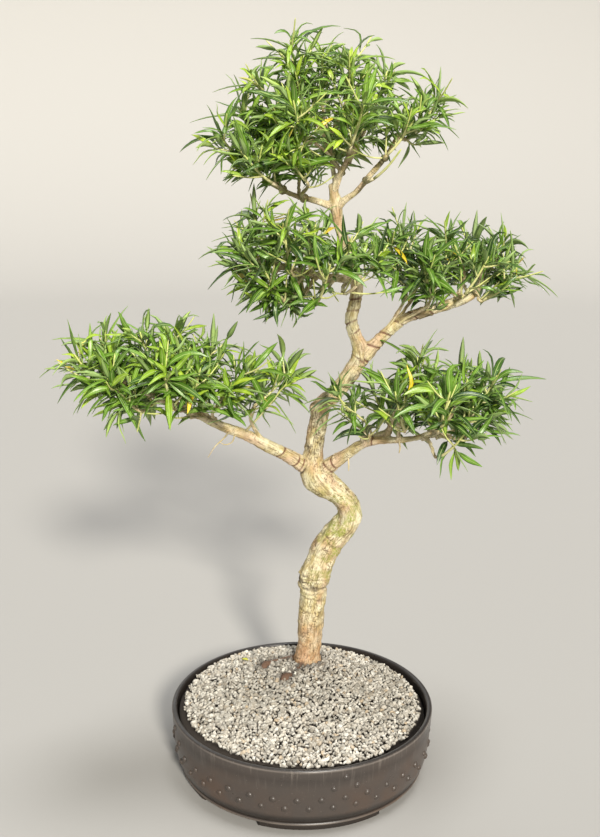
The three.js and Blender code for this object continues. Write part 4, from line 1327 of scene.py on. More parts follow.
@dataclass
class Wood:
    """Trunk, limbs, surface roots, twigs and rootlets."""

    sides: int = 40
    voxel: float = 1.15
    smoothings: int = 6
    batch: int = 8000
    twig_points: int = 14
    twig_sides: int = 10
    rootlet_sides: int = 8
    shoot_lift: float = 0.45
    shoot_length: float = 40.0
    head_share: float = 0.65
    aside: float = 40.0
    lumps: tuple = ((-1, 52, 211, 9, 2.6), (27, 44, 226, 8, 1.8), (6, 34, 334, 12, 2.4),
        (11, 36, 426, 6, 4.2), (28, 32, 345, 9, 2.0), (1, 40, 326, 8, 1.6), (-2, 62, 200, 7, 1.4),
        (30, 52, 236, 7, -1.2), (54, 28, 488, 8, 1.6), (19, 56, 139, 3, -1.8), (6, 55, 152, 2.4, -1.6),
        (18, 56, 152, 6, 1.1), (23, 60, 180, 7, 1.3), (1, 55, 168, 7, 0.9), (37, 36, 300, 8, -1.3),
        (68, 34, 499, 6, 1.2), (-42, 12, 389, 3.2, 1.5), (-30, 24, 381, 3, 1.2), (61, 24, 566, 5, 1.2))
    pit_from: float = -1.5
    creased: tuple = ("left", "low_right", "root_left", "root_front")
    rootlets: tuple = (
        ((-82, -6, 408, 1.1), (-88, -20, 403, 0.8), (-96, -28, 397, 0.6), (-104, -31, 385, 0.4)),
        ((-76, -6, 404, 0.9), (-79, -20, 399, 0.7), (-86, -25, 398, 0.5), (-91, -26, 401, 0.4)),
        ((50, 22, 372, 1.1), (51, 19, 364, 0.9), (51, 18, 356, 0.5)),
        ((105, -5, 397, 1.2), (106, -8, 391, 0.9), (105, -9, 385, 0.5)),
    )

    def tubes(self) -> Skin:
        """Sweeps each limb with an uneven section, before they are fused.

        The radius swells and sinks with two and three lobes that wander along the limb.

        Returns:
            The skin of all the limbs, which run into each other.
        """
        tubes = []
        angle = turns(self.sides)
        for number, limb in enumerate(LIMBS.values()):
            spots = limb.samples()
            drift = distances(spots[:, :3])[:, None] / 46.0 + 1.7 * number
            lobes = 0.05 * np.cos(2 * angle + drift) + 0.04 * np.cos(3 * angle - 1.6 * drift)
            radii = spots[:, 3:] * (1.0 + lobes)
            rings, _ = round_rings(spots[None, :, :3], radii[None], self.sides, LIMB_GUIDE)
            tubes.append(Skin.over_rings(rings))
        return reduce(Skin.joined, tubes)

    def on_limbs(self, points: Array) -> LimbPlaces:
        """Finds where points of the fused wood lie on its limbs.

        A point belongs to the place on a middle line whose surface is nearest to it.

        Args:
            points: Points on the wood.

        Returns:
            Their places.
        """
        lines = [limb.samples(12) for limb in LIMBS.values()]
        counts = [len(line) for line in lines]
        spots, limb = np.vstack(lines), np.repeat(np.arange(len(lines)), counts)
        frames = (frames_on(line[:, :3], LIMB_GUIDE) for line in lines)
        along, across, over = (np.vstack(ways) for ways in zip(*frames))
        reached = np.concatenate([distances(line[:, :3]) for line in lines])
        starts = np.cumsum([0, *counts[:-1]])
        joining = [LIMB_NAMES.index(name) for name in self.creased]
        nearest, meets = np.empty(len(points), int), np.empty(len(points))
        for first in range(0, len(points), self.batch):
            part = slice(first, first + self.batch)
            gap = np.linalg.norm(points[part, None] - spots[None, :, :3], axis=-1) - spots[None, :, 3]
            nearest[part] = np.argmin(gap, axis=1)
            each = np.minimum.reduceat(gap, starts, axis=1)
            meets[part] = np.abs(each[:, joining] - each[:, :1]).min(axis=1)
        offset = points - spots[nearest, :3]
        past, side, top = (np.sum(offset * way[nearest], axis=-1) for way in (along, across, over))
        local = np.stack([reached[nearest] + past, side, top], axis=-1)
        return LimbPlaces(limb[nearest], local, spots[nearest, 3], meets)

    @staticmethod
    def scars_at(place: LimbPlaces) -> tuple[Array, Array]:
        """Works out the wire scars: a groove between two swollen edges.

        The groove's middle is a ring tilted by a cosine of the angle, or a spiral. A
        healed scar is patchy, without edges or tint.

        Args:
            place: Where the points lie on the limbs.

        Returns:
            The height that the scars add, and the strength of their colour.
        """
        reached, side, top = place.local.T
        angle = np.arctan2(top, side)
        height, colour = np.zeros(len(angle)), np.zeros(len(angle))
        for key, scar in enumerate(SCARS):
            here = place.on(scar.limb)
            if scar.pitch:
                climbed = (reached - scar.start) / scar.pitch - (angle - scar.phase) / (2.0 * math.pi)
                off = (climbed - np.round(climbed)) * scar.pitch
                here = here & (np.round(climbed) >= 0) & (np.round(climbed) <= scar.turns)
            else:
                off = reached - scar.start - scar.tilt * np.cos(angle - scar.phase)
            patchy = (0.5 + scar.healed) * noise(place.local, 7.0, 60 + key)
            worn = here * np.clip(0.9 - scar.healed + patchy, 0.0, 1.0)
            fresh = 1.0 - scar.healed
            edges = bell(np.abs(off), 2.6 * scar.width, 1.3 * scar.width) * here * fresh
            height += scar.depth * (0.45 * edges - bell(off, 0.0, scar.width) * worn)
            colour = np.maximum(colour, bell(off, 0.0, 1.12 * scar.width) * worn * fresh)
        return height, colour

    def relief(self, points: Array, place: LimbPlaces) -> tuple[Array, dict[str, Array]]:
        """Works out how far the bark stands out, the scars' colour, and the painted shade in its hollows.

        Lengthwise ridges, cross wrinkles, swells, scars, creases at the joins, and lumps
        and pits as bell curves are added up. The wrinkles are deepest at the trunk's knee.

        Args:
            points: Points on the wood.
            place: Where they lie on the limbs.

        Returns:
            The heights, and the strength of the scars' colour and of the painted shade in the creases.
        """
        local, stout, height = place.local, np.clip(place.radius / 15.0, 0.25, 1.0), points[:, 2]
        ridges = noise(local * [0.13, 1.0, 1.0], 2.6, 51) + 0.6 * noise(local * [0.2, 1.0, 1.0], 1.5, 52)
        knee = 1.0 + 1.3 * bell(height, 210.0, 26.0) * place.on("trunk")
        wrinkles = knee * np.clip(noise(local * [1.0, 0.3, 0.3], 3.4, 53) - 0.1, 0.0, None)
        swells = noise(points, 12.0, 54) + 0.7 * noise(points, 6.0, 55) + 0.45 * knee * noise(points, 3.4, 61)
        scars, scar_colour = self.scars_at(place)
        lift = 0.32 * stout**0.5 * ridges - 1.1 * stout**0.7 * wrinkles + 0.95 * stout**0.9 * swells + scars
        fold = bell(place.meets, 0.0, 1.1) * smooth_step(noise(points, 7.0, 62), -0.5, 0.3)
        lift -= 0.9 * fold
        pits = np.zeros(len(points))
        for x, y, z, size, rise in self.lumps:
            bump = np.exp(-np.sum((points - [x, y, z]) ** 2, axis=-1) / size**2)
            lift += rise * bump
            pits = np.maximum(pits, bump**2 * (rise < self.pit_from))
        # Folds at the joins, cracks at the knee and pits are painted dark as painted shade
        cracked = smooth_step(wrinkles, 0.35, 0.9) * bell(height, 208.0, 22.0) * place.on("trunk")
        crease = np.maximum.reduce([0.85 * fold, 0.75 * cracked, 0.95 * pits])
        return lift, {"scar": scar_colour, "crease": crease}

    @staticmethod
    def tints(points: Array, place: LimbPlaces) -> dict[str, Array]:
        """Works out where the bark is tan, damp, green with algae, grey or aged.

        The trunk is tan near the soil, green at its first bend and grey on its upright
        stretch, by bell curves of the height with noise. The grey, strongest on the left, is
        also a painted shadow of the foliage above. Stout wood is aged.

        Args:
            points: Points on the wood.
            place: Where they lie on the limbs.

        Returns:
            The values for each point.
        """
        x, _, z = points.T
        trunk = place.on("trunk")
        mossy = smooth_step(noise(points, 11.0, 56) + 0.5 * noise(points, 4.0, 57), -0.25, 0.45)
        damp = 0.8 * (1.0 - smooth_step(z + 3.0 * noise(points, 6.0, 61), 92.0, 100.0))
        # Grey-brown mottle, which is also a painted shadow of the foliage above, strongest on the left
        upright = bell(z, 396.0, 30.0) * trunk * (0.75 + 0.25 * smooth_step(-x, -22.0, -6.0))
        return {
            "tan": 0.85 * (1.0 - smooth_step(z + 9.0 * noise(points, 16.0, 58), 98.0, 178.0)),
            "dark": np.maximum(place.on(*SURFACE_ROOTS), damp),
            "algae": 1.1 * mossy * bell(z, 262.0, 66.0) * trunk * (0.6 + 0.4 * smooth_step(x, 10.0, 45.0)),
            "grey": upright * smooth_step(noise(points, 9.0, 59) + 0.5 * noise(points, 4.0, 63), -0.5, 0.35),
            "aged": smooth_step(place.radius, 7.0, 13.0),
        }

    def fused(self) -> Mesh:
        """Fuses the limbs, then raises the bark on them.

        Voxels of one size join the tubes, and smoothing rounds the joins. Each point then
        moves along its normal by the relief of the bark.

        Returns:
            The mesh of the wood, with the values that its bark needs.
        """
        mesh = self.tubes().mesh("trunk_and_limbs")
        mesh = changed(mesh, "REMESH", mode="VOXEL", voxel_size=self.voxel * MM, use_smooth_shade=True)
        mesh = changed(mesh, "SMOOTH", factor=0.5, iterations=self.smoothings)
        points, normals = read_points(mesh) / MM, read_points(mesh, "normal")
        place = self.on_limbs(points)
        lift, marks = self.relief(points, place)
        set_points(mesh, points + normals * lift[:, None])
        set_values(mesh, {"limb": place.local, **marks, **self.tints(points, place)})
        return mesh

    def shoot_starts(self, pad: Pad) -> tuple[Array, Array]:
        """Returns where a pad's shoots begin and the directions they grow in."""
        heads = np.array(pad.heads, float)
        ways = unit(unit(heads - np.array(pad.heart)) + self.shoot_lift * UP)
        return heads - ways * self.head_share * self.shoot_length, ways

    def twig_lines(self, pad: Pad) -> Array:
        """Leads a twig from the nearest limb to each shoot of a pad.

        A twig is a cubic Bezier curve. It leaves its limb some way back, half along it and
        half towards the shoot, and arrives in the shoot's direction.

        Args:
            pad: The pad.

        Returns:
            The twigs' middle lines.
        """
        bases, arrive = self.shoot_starts(pad)
        lines = [LIMBS[name].samples(16)[:, :3] for name in pad.limbs]
        counts = [len(line) for line in lines]
        ways = np.vstack([unit(np.gradient(line, axis=0)) for line in lines])
        first = np.repeat(np.cumsum([0, *counts[:-1]]), counts)
        spots = np.vstack(lines)
        gap = np.linalg.norm(bases[:, None] - spots[None], axis=-1)
        nearest = np.argmin(gap, axis=1)
        step = np.linalg.norm(np.diff(spots, axis=0), axis=1).mean()
        back = np.maximum(nearest - (0.85 * gap.min(axis=1) / step).astype(int), first[nearest] + 2)
        begin, along = spots[back], ways[back]
        reach = 0.38 * np.linalg.norm(bases - begin, axis=-1, keepdims=True)
        leave = unit(along + unit(bases - begin))
        controls = np.stack([begin, begin + leave * reach, bases - arrive * reach, bases], axis=1)
        number, point = np.arange(len(bases))[:, None, None], np.arange(self.twig_points)[:, None]
        kinks = spread(0.0, 0.7, 71, number, point, np.arange(3))
        fade = np.sin(np.linspace(0.0, math.pi, self.twig_points))[:, None]
        return bezier(controls, self.twig_points) + kinks * fade

    def twigs(self) -> Skin:
        """Sweeps the twigs and the hanging rootlets.

        A twig's radius falls along it from a collar that fades as an exponential, and
        swells and sinks at its kinks.

        Returns:
            The skin of them all.
        """
        tubes = []
        along = np.linspace(0.0, 1.0, self.twig_points)
        taper = 2.3 - 0.75 * along + 2.4 * np.exp(-along / 0.07)
        for number, pad in enumerate(PADS):
            lines = self.twig_lines(pad)
            twig, point = np.arange(len(lines))[:, None], np.arange(self.twig_points)
            knots = 1.0 + 0.14 * spread(0.0, 1.0, 72, number, twig, point)
            rings, local = round_rings(lines, taper * knots, self.twig_sides, clear_guide(lines))
            tubes.append(self.dressed(rings, local, 0.0))
        for rootlet in self.rootlets:
            line = smooth_route(np.array(rootlet, float), 4)[None]
            guide = np.array([0.3, 1.0, 0.2])
            rings, local = round_rings(line[..., :3], line[..., 3], self.rootlet_sides, guide)
            tubes.append(self.dressed(rings, local, 0.1))
        return reduce(Skin.joined, tubes)

    def dressed(self, rings: Array, local: Array, tan: float) -> Skin:
        """Returns the skin over rings, with the values that bark needs."""
        even = np.zeros(rings.shape[:3])
        values = dict.fromkeys(("algae", "grey", "scar", "dark", "crease", "aged"), even)
        return Skin.over_rings(rings, limb=local + [0.0, self.aside, 0.0], tan=even + tan, **values)

    def build(self, bark: Material) -> None:
        """Puts the fused wood and the twigs into the scene."""
        show(self.fused(), bark, ["trunk_and_branches"])
        show(self.twigs().mesh("twigs"), bark, ["trunk_and_branches"])


# The leaves


@dataclass
class Leaves:
    """Leaves as arrays: middle lines, the way their upper faces look, widths and tones."""

    lines: Array
    faces: Array
    widths: Array
    tones: Array

    def picked(self, kept: Array) -> "Leaves":
        """Returns the leaves that a mask keeps."""
        return Leaves(self.lines[kept], self.faces[kept], self.widths[kept], self.tones[kept])

    @staticmethod
    def together(*batches: "Leaves") -> "Leaves":
        """Returns several batches as one."""
        columns = zip(*((b.lines, b.faces, b.widths, b.tones) for b in batches))
        return Leaves(*(np.concatenate(column) for column in columns))


@dataclass
class Foliage:
    """Green shoots and leaves of all pads: those of the solids, and the many between them.

    A leaf's tone runs from 0, old, to 1, young, and `yellow_tone` stands for a yellow one.
    """

    wood: Wood
    stations: tuple = (0, 2, 5, 8, 12, 16, 20, 23, 24)
    fold: float = 0.3
    length: float = 44.0
    width: float = 6.0
    stalk_share: float = 0.09
    stalk_width: float = 0.55
    tip_width: float = 0.12
    section: tuple = (0.0, 1.0, 0.52, 0.0, -0.52, -1.0)
    yellow_share: float = 0.008
    yellow_tone: float = 1.8
    yellow_from: float = 1.2
    solid_width: float = 0.75
    solid_hang: float = 6.0
    side_shoots: int = 4
    shoot_points: int = 7
    stem_sides: int = 6
    bud: tuple = (2.0, 5.0, 8.0, 9.5)
    bud_taper: tuple = (0.6, 0.7, 0.4, 0.06)
    leaves_on_shoot: int = 10
    twig_leafy_from: int = 7
    cad_stations: tuple = (0.0, 0.36, 0.74, 1.0)
    margin: float = 1.0
    free_points: int = 3
    thick_wood: float = 2.6
    wood_gap: float = 1.5
    sight: float = 0.25
    end_hang: float = 48.0
    back_hang: float = 16.0
    behind: float = -6.0

    @property
    def places(self) -> Array:
        """The leaf's stations as shares of its length."""
        return np.array(self.stations) / self.stations[-1]

    def solid_leaves(self, node: str) -> Leaves:
        """Reads the leaves of a CAD spray from its mesh.

        A leaf's tip is a corner of exactly four triangles. The corners round it are its
        second section, the next four its first, and the next its seat on the stem. The
        cubic through the four middles is the leaf's line.

        Args:
            node: Name of the spray's node.

        Returns:
            The leaves.
        """
        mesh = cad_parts[node].data
        corners = np.empty(len(mesh.loops), np.int32)
        mesh.loops.foreach_get("vertex_index", corners)
        points, same = np.unique(np.round(read_points(mesh) / MM, 3), axis=0, return_inverse=True)
        triangles = same.ravel()[corners].reshape(-1, 3)
        held = []
        for tip in np.flatnonzero(np.bincount(triangles.ravel()) == 4):
            known = [tip]
            sections = []
            for _ in range(3):
                touched = triangles[np.isin(triangles, known).any(axis=1)]
                section = np.setdiff1d(touched, known)
                sections.append(points[section])
                known = [*known, *section]
            if any(len(section) != 4 for section in sections) or np.ptp(sections[0], axis=0).max() < 3.0:
                continue
            held.append([points[tip], *sections])
        tips, second, first, seat = (np.array(column) for column in zip(*held))
        rib_second, _, _ = self.section_parts(second)
        rib_first, across, over = self.section_parts(first)
        middles = np.stack([seat.mean(axis=1), rib_first, rib_second, tips], axis=1)
        known = np.array(self.cad_stations)
        share = np.array([
            [np.prod([(t - o) / (k - o) for o in known if o != k]) for k in known] for t in self.places
        ])
        lines = np.einsum("sk,lkd->lsd", share, middles)
        faces = np.repeat(over[:, None], len(self.places), axis=1)
        leaf = np.arange(len(held))
        tones = np.clip(0.38 + 0.3 * spread(0.0, 1.0, 81, len(node), int(node[-2:]), leaf), 0.0, 1.0)
        return Leaves(lines, faces, self.solid_width * np.linalg.norm(across, axis=-1), tones)

    @staticmethod
    def section_parts(sections: Array) -> tuple[Array, Array, Array]:
        """Splits four-cornered leaf sections into rib and edges.

        The two corners furthest apart are the edges, and they lie above the rib's middle.

        Args:
            sections: Corners, shaped leaves x 4 x 3.

        Returns:
            The rib's middle, the vector from edge to edge, and the way the face looks.
        """
        gaps = np.linalg.norm(sections[:, :, None] - sections[:, None], axis=-1)
        widest = np.argmax(gaps.reshape(-1, 16), axis=1)
        one, other = widest // 4, widest % 4
        rows = np.arange(len(sections))
        edges = (sections[rows, one] + sections[rows, other]) / 2.0
        rib = (sections.sum(axis=1) - 2.0 * edges) / 2.0
        return rib, sections[rows, one] - sections[rows, other], unit(edges - rib)

    def grown_leaves(
        self, roots: Array, ways: Array, faces: Array, keys: Array, age: Array, size: float
    ) -> Leaves:
        """Grows leaves from roots.

        A leaf's direction starts as given, sinks and swings in proportion to the way along
        it and bows by a sine, and the line is its sum.

        Args:
            roots: Where the leaves begin.
            ways: Directions they leave in.
            faces: The way their upper faces look.
            keys: A number for each leaf.
            age: From 0, the youngest at the tip of a shoot, to 1.
            size: Size of the pad's leaves.

        Returns:
            The leaves.
        """
        steps = self.stations[-1]
        t = (np.arange(steps) + 0.5)[None, :, None] / steps
        length = size * self.length * (0.5 + 0.5 * np.sqrt(age)) * spread(1.0, 0.28, 91, keys)
        droop = (spread(0.85, 0.75, 92, keys) * (0.35 + 0.65 * age))[:, None, None]
        swing = spread(0.0, 0.6, 93, keys)[:, None, None]
        curl = spread(0.0, 0.45, 99, keys)[:, None, None]
        side = np.cross(faces, ways)
        bow = faces[:, None] * curl * np.sin(2.0 * math.pi * t)
        direction = unit(ways[:, None] - UP * droop * t**1.3 + side[:, None] * swing * t + bow)
        travel = np.cumsum(direction * (length[:, None, None] / steps), axis=1)
        travel = np.concatenate([np.zeros((len(roots), 1, 3)), travel], axis=1)
        lines = roots[:, None] + travel[:, list(self.stations)]
        twist = spread(0.0, 0.7, 94, keys)[:, None, None] * self.places[:, None]
        looks = faces[:, None] * np.cos(twist) + side[:, None] * np.sin(twist)
        width = size * self.width * spread(1.0, 0.25, 95, keys) * (0.66 + 0.34 * np.sqrt(age))
        tones = np.clip(0.8 - 0.62 * age + spread(0.0, 0.28, 96, keys), 0.0, 1.0)
        tones = np.where(chance(97, keys) < self.yellow_share, self.yellow_tone, tones)
        return Leaves(lines, looks, width, tones)

    def blades(self, leaves: Leaves) -> Skin:
        """Lays a thin folded blade over each leaf's line.

        The half width is a power of a skewed arch from the stalk to the pointed tip. Six
        points go round each section: below the rib, the edges, on the rib, and halfway on
        both sides of it.

        Args:
            leaves: The leaves.

        Returns:
            The skin of the blades, with their tones.
        """
        t = self.places
        blade = np.clip((t - self.stalk_share) / (1.0 - self.stalk_share), 0.0, 1.0)
        arch = (4.0 * blade**0.75 * (1.0 - blade**0.75)) ** 0.95
        half = leaves.widths[:, None] / 2.0 * arch + self.stalk_width * (1.0 - 0.75 * t)
        half = np.where(t == 1.0, self.tip_width, half)
        along, over, _ = frames_on(leaves.lines, leaves.faces)
        number = np.arange(len(half))[:, None]
        ripple = 0.1 * np.sin(9.0 * t + 6.28 * chance(98, number)) * half
        depth = 0.5 * (1.0 - blade) + 0.16
        rise = self.fold * half
        middle = 0.78 * rise + 0.15
        top = [0 * half - depth, rise + ripple, middle, 0 * half + 0.2, middle, rise - ripple]
        top = np.stack(top, axis=-1)
        top = np.where((t == 1.0)[None, :, None], 0.3 * top, top)
        side = half[..., None] * self.section
        rings = sections_on(leaves.lines, np.cross(over, along), over, side, top)
        tone = np.broadcast_to(leaves.tones[:, None, None], side.shape)
        under = np.broadcast_to(np.arange(len(self.section)) == 0, side.shape).astype(float)
        off_rib = np.broadcast_to(np.abs(self.section), side.shape)
        reached = np.broadcast_to(distances(leaves.lines)[..., None], side.shape)
        place = np.stack([off_rib, reached, side], axis=-1)
        return Skin.over_rings(rings, tone=tone, under=under, blade=place)

    def bent(self, roots: Array, ways: Array, length: Array, rise: Array | float) -> Array:
        """Returns shoots that bend upwards halfway, as quadratic Bezier curves."""
        bend = roots + ways * length / 2.0
        end = bend + unit(ways + rise * UP) * length / 2.0
        return bezier(np.stack([roots, bend, end], axis=1), self.shoot_points)

    def main_shoots(self, pad: Pad, first: int) -> Array:
        """Returns the lines of a pad's main shoots, as in the solids, numbered from `first`."""
        lengths = self.wood.shoot_length * spread(1.0, 0.15, 4, first + np.arange(len(pad.heads)))
        return self.bent(*self.wood.shoot_starts(pad), lengths[:, None], 0.5)

    def sprigs(self, pad: Pad) -> tuple[Array, ...]:
        """Returns a pad's sprigs from end to end, and the leafy part of each."""
        whole, leafy = [], []
        for sprig in (one for one in SPRIGS if one.pad == pad.name):
            line = smooth_route(np.array(sprig.route, float), 8)
            share = np.linspace(0.0, 1.0, len(line))
            for kept, start in ((whole, 0.0), (leafy, sprig.leafy_from)):
                at = np.linspace(start, 1.0, self.shoot_points)
                kept.append(np.stack([np.interp(at, share, column) for column in line.T], axis=-1))
        return tuple(np.array(kept).reshape(-1, self.shoot_points, 3) for kept in (whole, leafy))

    def side_lines(self, carriers: Array, key: int) -> Array:
        """Grows side shoots from carriers, which are twigs or main shoots.

        Each leaves its carrier at a slant, on a side that turns by the golden angle, and
        then bends upwards.

        Args:
            carriers: Lines, shaped carriers x points x 3.
            key: Number that tells one set of side shoots from another.

        Returns:
            The lines, shaped shoots x points x 3.
        """
        number, slot = np.divmod(np.arange(len(carriers) * self.side_shoots), self.side_shoots)
        share = (slot + 0.6) / self.side_shoots + spread(0.0, 0.08, 101, key, number, slot)
        turn = 6.28 * chance(102, key, number) + GOLDEN_ANGLE * slot
        roots, along, out = carried(carriers, number, np.clip(share, 0.1, 0.95), turn)
        slant = spread(0.95, 0.25, 103, key, number, slot)[:, None]
        way = unit(np.cos(slant) * along + np.sin(slant) * out + 0.1 * UP)
        length = spread(25.0, 9.0, 104, key, number, slot)[:, None]
        rise = spread(0.45, 0.4, 105, key, number, slot)[:, None]
        return self.bent(roots, way, length, rise)

    def leaves_along(self, shoots: Array, key: int, age: float, size: float) -> Leaves:
        """Sets leaves round shoots by the golden angle, from spreading to upright.

        Args:
            shoots: Middle lines of the shoots.
            key: Number that tells one set of shoots from another.
            age: Greatest age of the leaves, from 0 to 1.
            size: Size of the pad's leaves.

        Returns:
            The leaves.
        """
        number, slot = np.divmod(np.arange(len(shoots) * self.leaves_on_shoot), self.leaves_on_shoot)
        share = (slot + 0.9) / (self.leaves_on_shoot + 0.3) + spread(0.0, 0.03, 111, key, number, slot)
        share = np.clip(share, 0.0, 0.99)
        turn = 6.28 * chance(112, key, number) + GOLDEN_ANGLE * slot
        turn = turn + spread(0.0, 0.3, 113, key, number, slot)
        roots, along, out = carried(shoots, number, share, turn)
        lean = np.radians(78.0 - 50.0 * share + spread(0.0, 13.0, 114, key, number, slot))[:, None]
        way = unit(np.cos(lean) * along + np.sin(lean) * out)
        look = np.sin(lean) * along - np.cos(lean) * out + 0.7 * UP
        look = square_to(look + 0.35 * scattered(115, key, number, slot), way)
        keys = 1000 * key + 16 * number + slot
        grown = self.grown_leaves(roots + out * 0.7, way, look, keys, age * (1.0 - 0.9 * share), size)
        return grown.picked(chance(118, keys) < 0.95)

    def stems(self, shoots: Array, thick: float, ripe: float) -> Skin:
        """Sweeps green stems that swell at their nodes and end in a pointed bud.

        Args:
            shoots: Middle lines.
            thick: Radius at the root.
            ripe: How far the stem has turned to bark at its root, from 0 to 1.

        Returns:
            The skin of the stems.
        """
        way = unit(shoots[:, -1] - shoots[:, -2])
        bud = shoots[:, -1:] + way[:, None] * np.array(self.bud)[:, None]
        lines = np.concatenate([shoots, bud], axis=1)
        taper = np.concatenate([np.linspace(1.0, 0.62, self.shoot_points), self.bud_taper])
        swell = 1.0 + 0.12 * (np.arange(len(taper)) % 2)
        radii = np.broadcast_to(thick * taper * swell, lines.shape[:2])
        rings, local = round_rings(lines, radii, self.stem_sides, clear_guide(lines))
        aged = np.concatenate([np.linspace(ripe, 0.0, self.shoot_points), np.zeros(len(self.bud))])
        aged = np.broadcast_to(aged[:, None], rings.shape[:3])
        return Skin.over_rings(rings, limb=local, ripe=aged)

    def fitting(self, pad: Pad, lines: Array, solid: Leaves) -> Array:
        """Tells which leaves or shoots keep to their pad's form.

        A line stays if it reaches no further than the pad's solid leaves in any of many
        directions, spread over a ball by the golden angle, keeps out of the thick wood
        and doesn't hang lower than the pad lets it.

        Args:
            pad: The pad.
            lines: The lines to test.
            solid: The leaves of the pad's CAD nodes.

        Returns:
            A mask of the lines that stay.
        """
        count = 90
        number = np.arange(count)
        height = 1.0 - 2.0 * (number + 0.5) / count
        ball = about_axis(np.sqrt(1.0 - height**2), GOLDEN_ANGLE * number, height).T
        reach = (solid.lines.reshape(-1, 3) @ ball).max(axis=0)
        within = (lines @ ball < reach + self.margin).all(axis=(1, 2))
        spots = np.vstack([limb.samples() for limb in LIMBS.values()])
        spots = spots[spots[:, 3] > self.thick_wood]
        clear = clear_of(lines[:, self.free_points :], spots).min(axis=1) > self.wood_gap
        return within & clear & ~self.hanging(pad, lines, pad.hang)

    @staticmethod
    def covering(pad: Pad, lines: Array, keys: Array) -> Array:
        """Tells which lines hide the wood behind their pad's openings, apart from a share.

        Args:
            pad: The pad.
            lines: The lines to test.
            keys: A number for each line.

        Returns:
            A mask of the lines that hide it.
        """
        hidden = np.zeros(len(lines), bool)
        for number, (x, y, z, reach, share) in enumerate(pad.openings):
            near = (np.hypot(lines[..., 0] - x, lines[..., 2] - z) < reach) & (lines[..., 1] < y)
            hidden |= near.any(axis=1) & (chance(120, number, keys) > share)
        return hidden

    def hanging(self, pad: Pad, lines: Array, allowed: float) -> Array:
        """Tells which lines hang more than allowed below their pad's bare limbs.

        The limit rises towards the front as a line of sight does, and falls away at the
        limbs' outer ends and behind them.

        Args:
            pad: The pad.
            lines: The lines to test.
            allowed: How far a line may hang near the trunk.

        Returns:
            A mask of the lines that hang too far.
        """
        limbs = [LIMBS[name].samples()[:, :3] for name in pad.bare]
        share = np.concatenate([np.linspace(0.0, 1.0, len(limb)) for limb in limbs])
        limbs = np.vstack(limbs)
        outer = lines[:, self.free_points :]
        beside = np.argmin(np.linalg.norm(outer[:, :, None, :2] - limbs[:, :2], axis=-1), axis=-1)
        limb = limbs[beside]
        ahead = limb[..., 1] - outer[..., 1]
        ends = smooth_step(share[beside], pad.loose_from, pad.loose_from + 0.4)
        loose = self.end_hang * ends + self.back_hang * (ahead < self.behind)
        limit = limb[..., 2] + self.sight * ahead - allowed - loose
        return (outer[..., 2] < limit).any(axis=1)

    def fallen(self) -> Leaves:
        """Returns the yellow leaf that lies on the grit."""
        line = np.array([-75.0, 80.0, 91.5]) + self.places[:, None] * np.array([8.0, -6.0, 0.5])
        return Leaves(line[None], np.broadcast_to(UP, (1, *line.shape)), np.array([5.0]), np.array([1.5]))

    def pad_pieces(self, pad: Pad, number: int, first: int) -> tuple[Leaves, Skin]:
        """Grows the leaves and the green stems of a pad.

        The solid leaves keep their places. More grow along the main shoots, side shoots
        from these and from the twigs, and sprigs. Those that leave the pad's form, hang
        too low or cover its openings are taken out.

        Args:
            pad: The pad.
            number: Its number.
            first: Number of its first shoot among all.

        Returns:
            The leaves and the skin of the stems.
        """
        size = pad.leaf_size
        main = self.main_shoots(pad, first)
        twigs = self.wood.twig_lines(pad)
        solid = Leaves.together(*(self.solid_leaves(node) for node in pad.nodes()))
        side = self.side_lines(main, 2 * number)
        inner = self.side_lines(twigs[:, self.twig_leafy_from :], 2 * number + 1)
        side, inner = (lines[self.fitting(pad, lines, solid)] for lines in (side, inner))
        carriers = ((main, 0.8), (side, 0.9), (inner, 1.0))
        grown = Leaves.together(*(
            self.leaves_along(lines, 4 * number + kind, age, size)
            for kind, (lines, age) in enumerate(carriers)
        ))
        keys = np.arange(len(grown.tones))
        thinned = (chance(119, number, keys) < pad.share) & ~self.covering(pad, grown.lines, keys)
        grown = grown.picked(thinned & self.fitting(pad, grown.lines, solid))
        free, leafy = self.sprigs(pad)
        covering = self.covering(pad, solid.lines, -1 - np.arange(len(solid.tones)))
        solid = solid.picked(~self.hanging(pad, solid.lines, pad.hang + self.solid_hang) & ~covering)
        leaves = Leaves.together(solid, grown, self.leaves_along(leafy, 4 * number + 3, 0.9, size))
        fresh = np.clip(leaves.tones + pad.fresh, 0.0, 1.0)
        leaves.tones = np.where(leaves.tones > self.yellow_from, leaves.tones, fresh)
        shoots = ((main, 1.6, 0.8), (side, 1.1, 0.6), (inner, 1.1, 0.6), (free, 1.5, 1.0))
        return leaves, reduce(Skin.joined, [self.stems(*shoot) for shoot in shoots])

    def build(self, leaf: Material, stem: Material) -> None:
        """Puts the fallen leaf and each pad's leaves and green stems into the scene."""
        show(self.blades(self.fallen()).mesh("fallen_leaf"), leaf, ["gravel"])
        first = 0
        for number, pad in enumerate(PADS):
            leaves, stems = self.pad_pieces(pad, number, first)
            LOG.info("%s pad: %d leaves", pad.name, len(leaves.tones))
            show(self.blades(leaves).mesh(f"leaves_{pad.name}"), leaf, pad.nodes())
            show(stems.mesh(f"green_stems_{pad.name}"), stem, pad.nodes())
            first += len(pad.heads)


# The studio


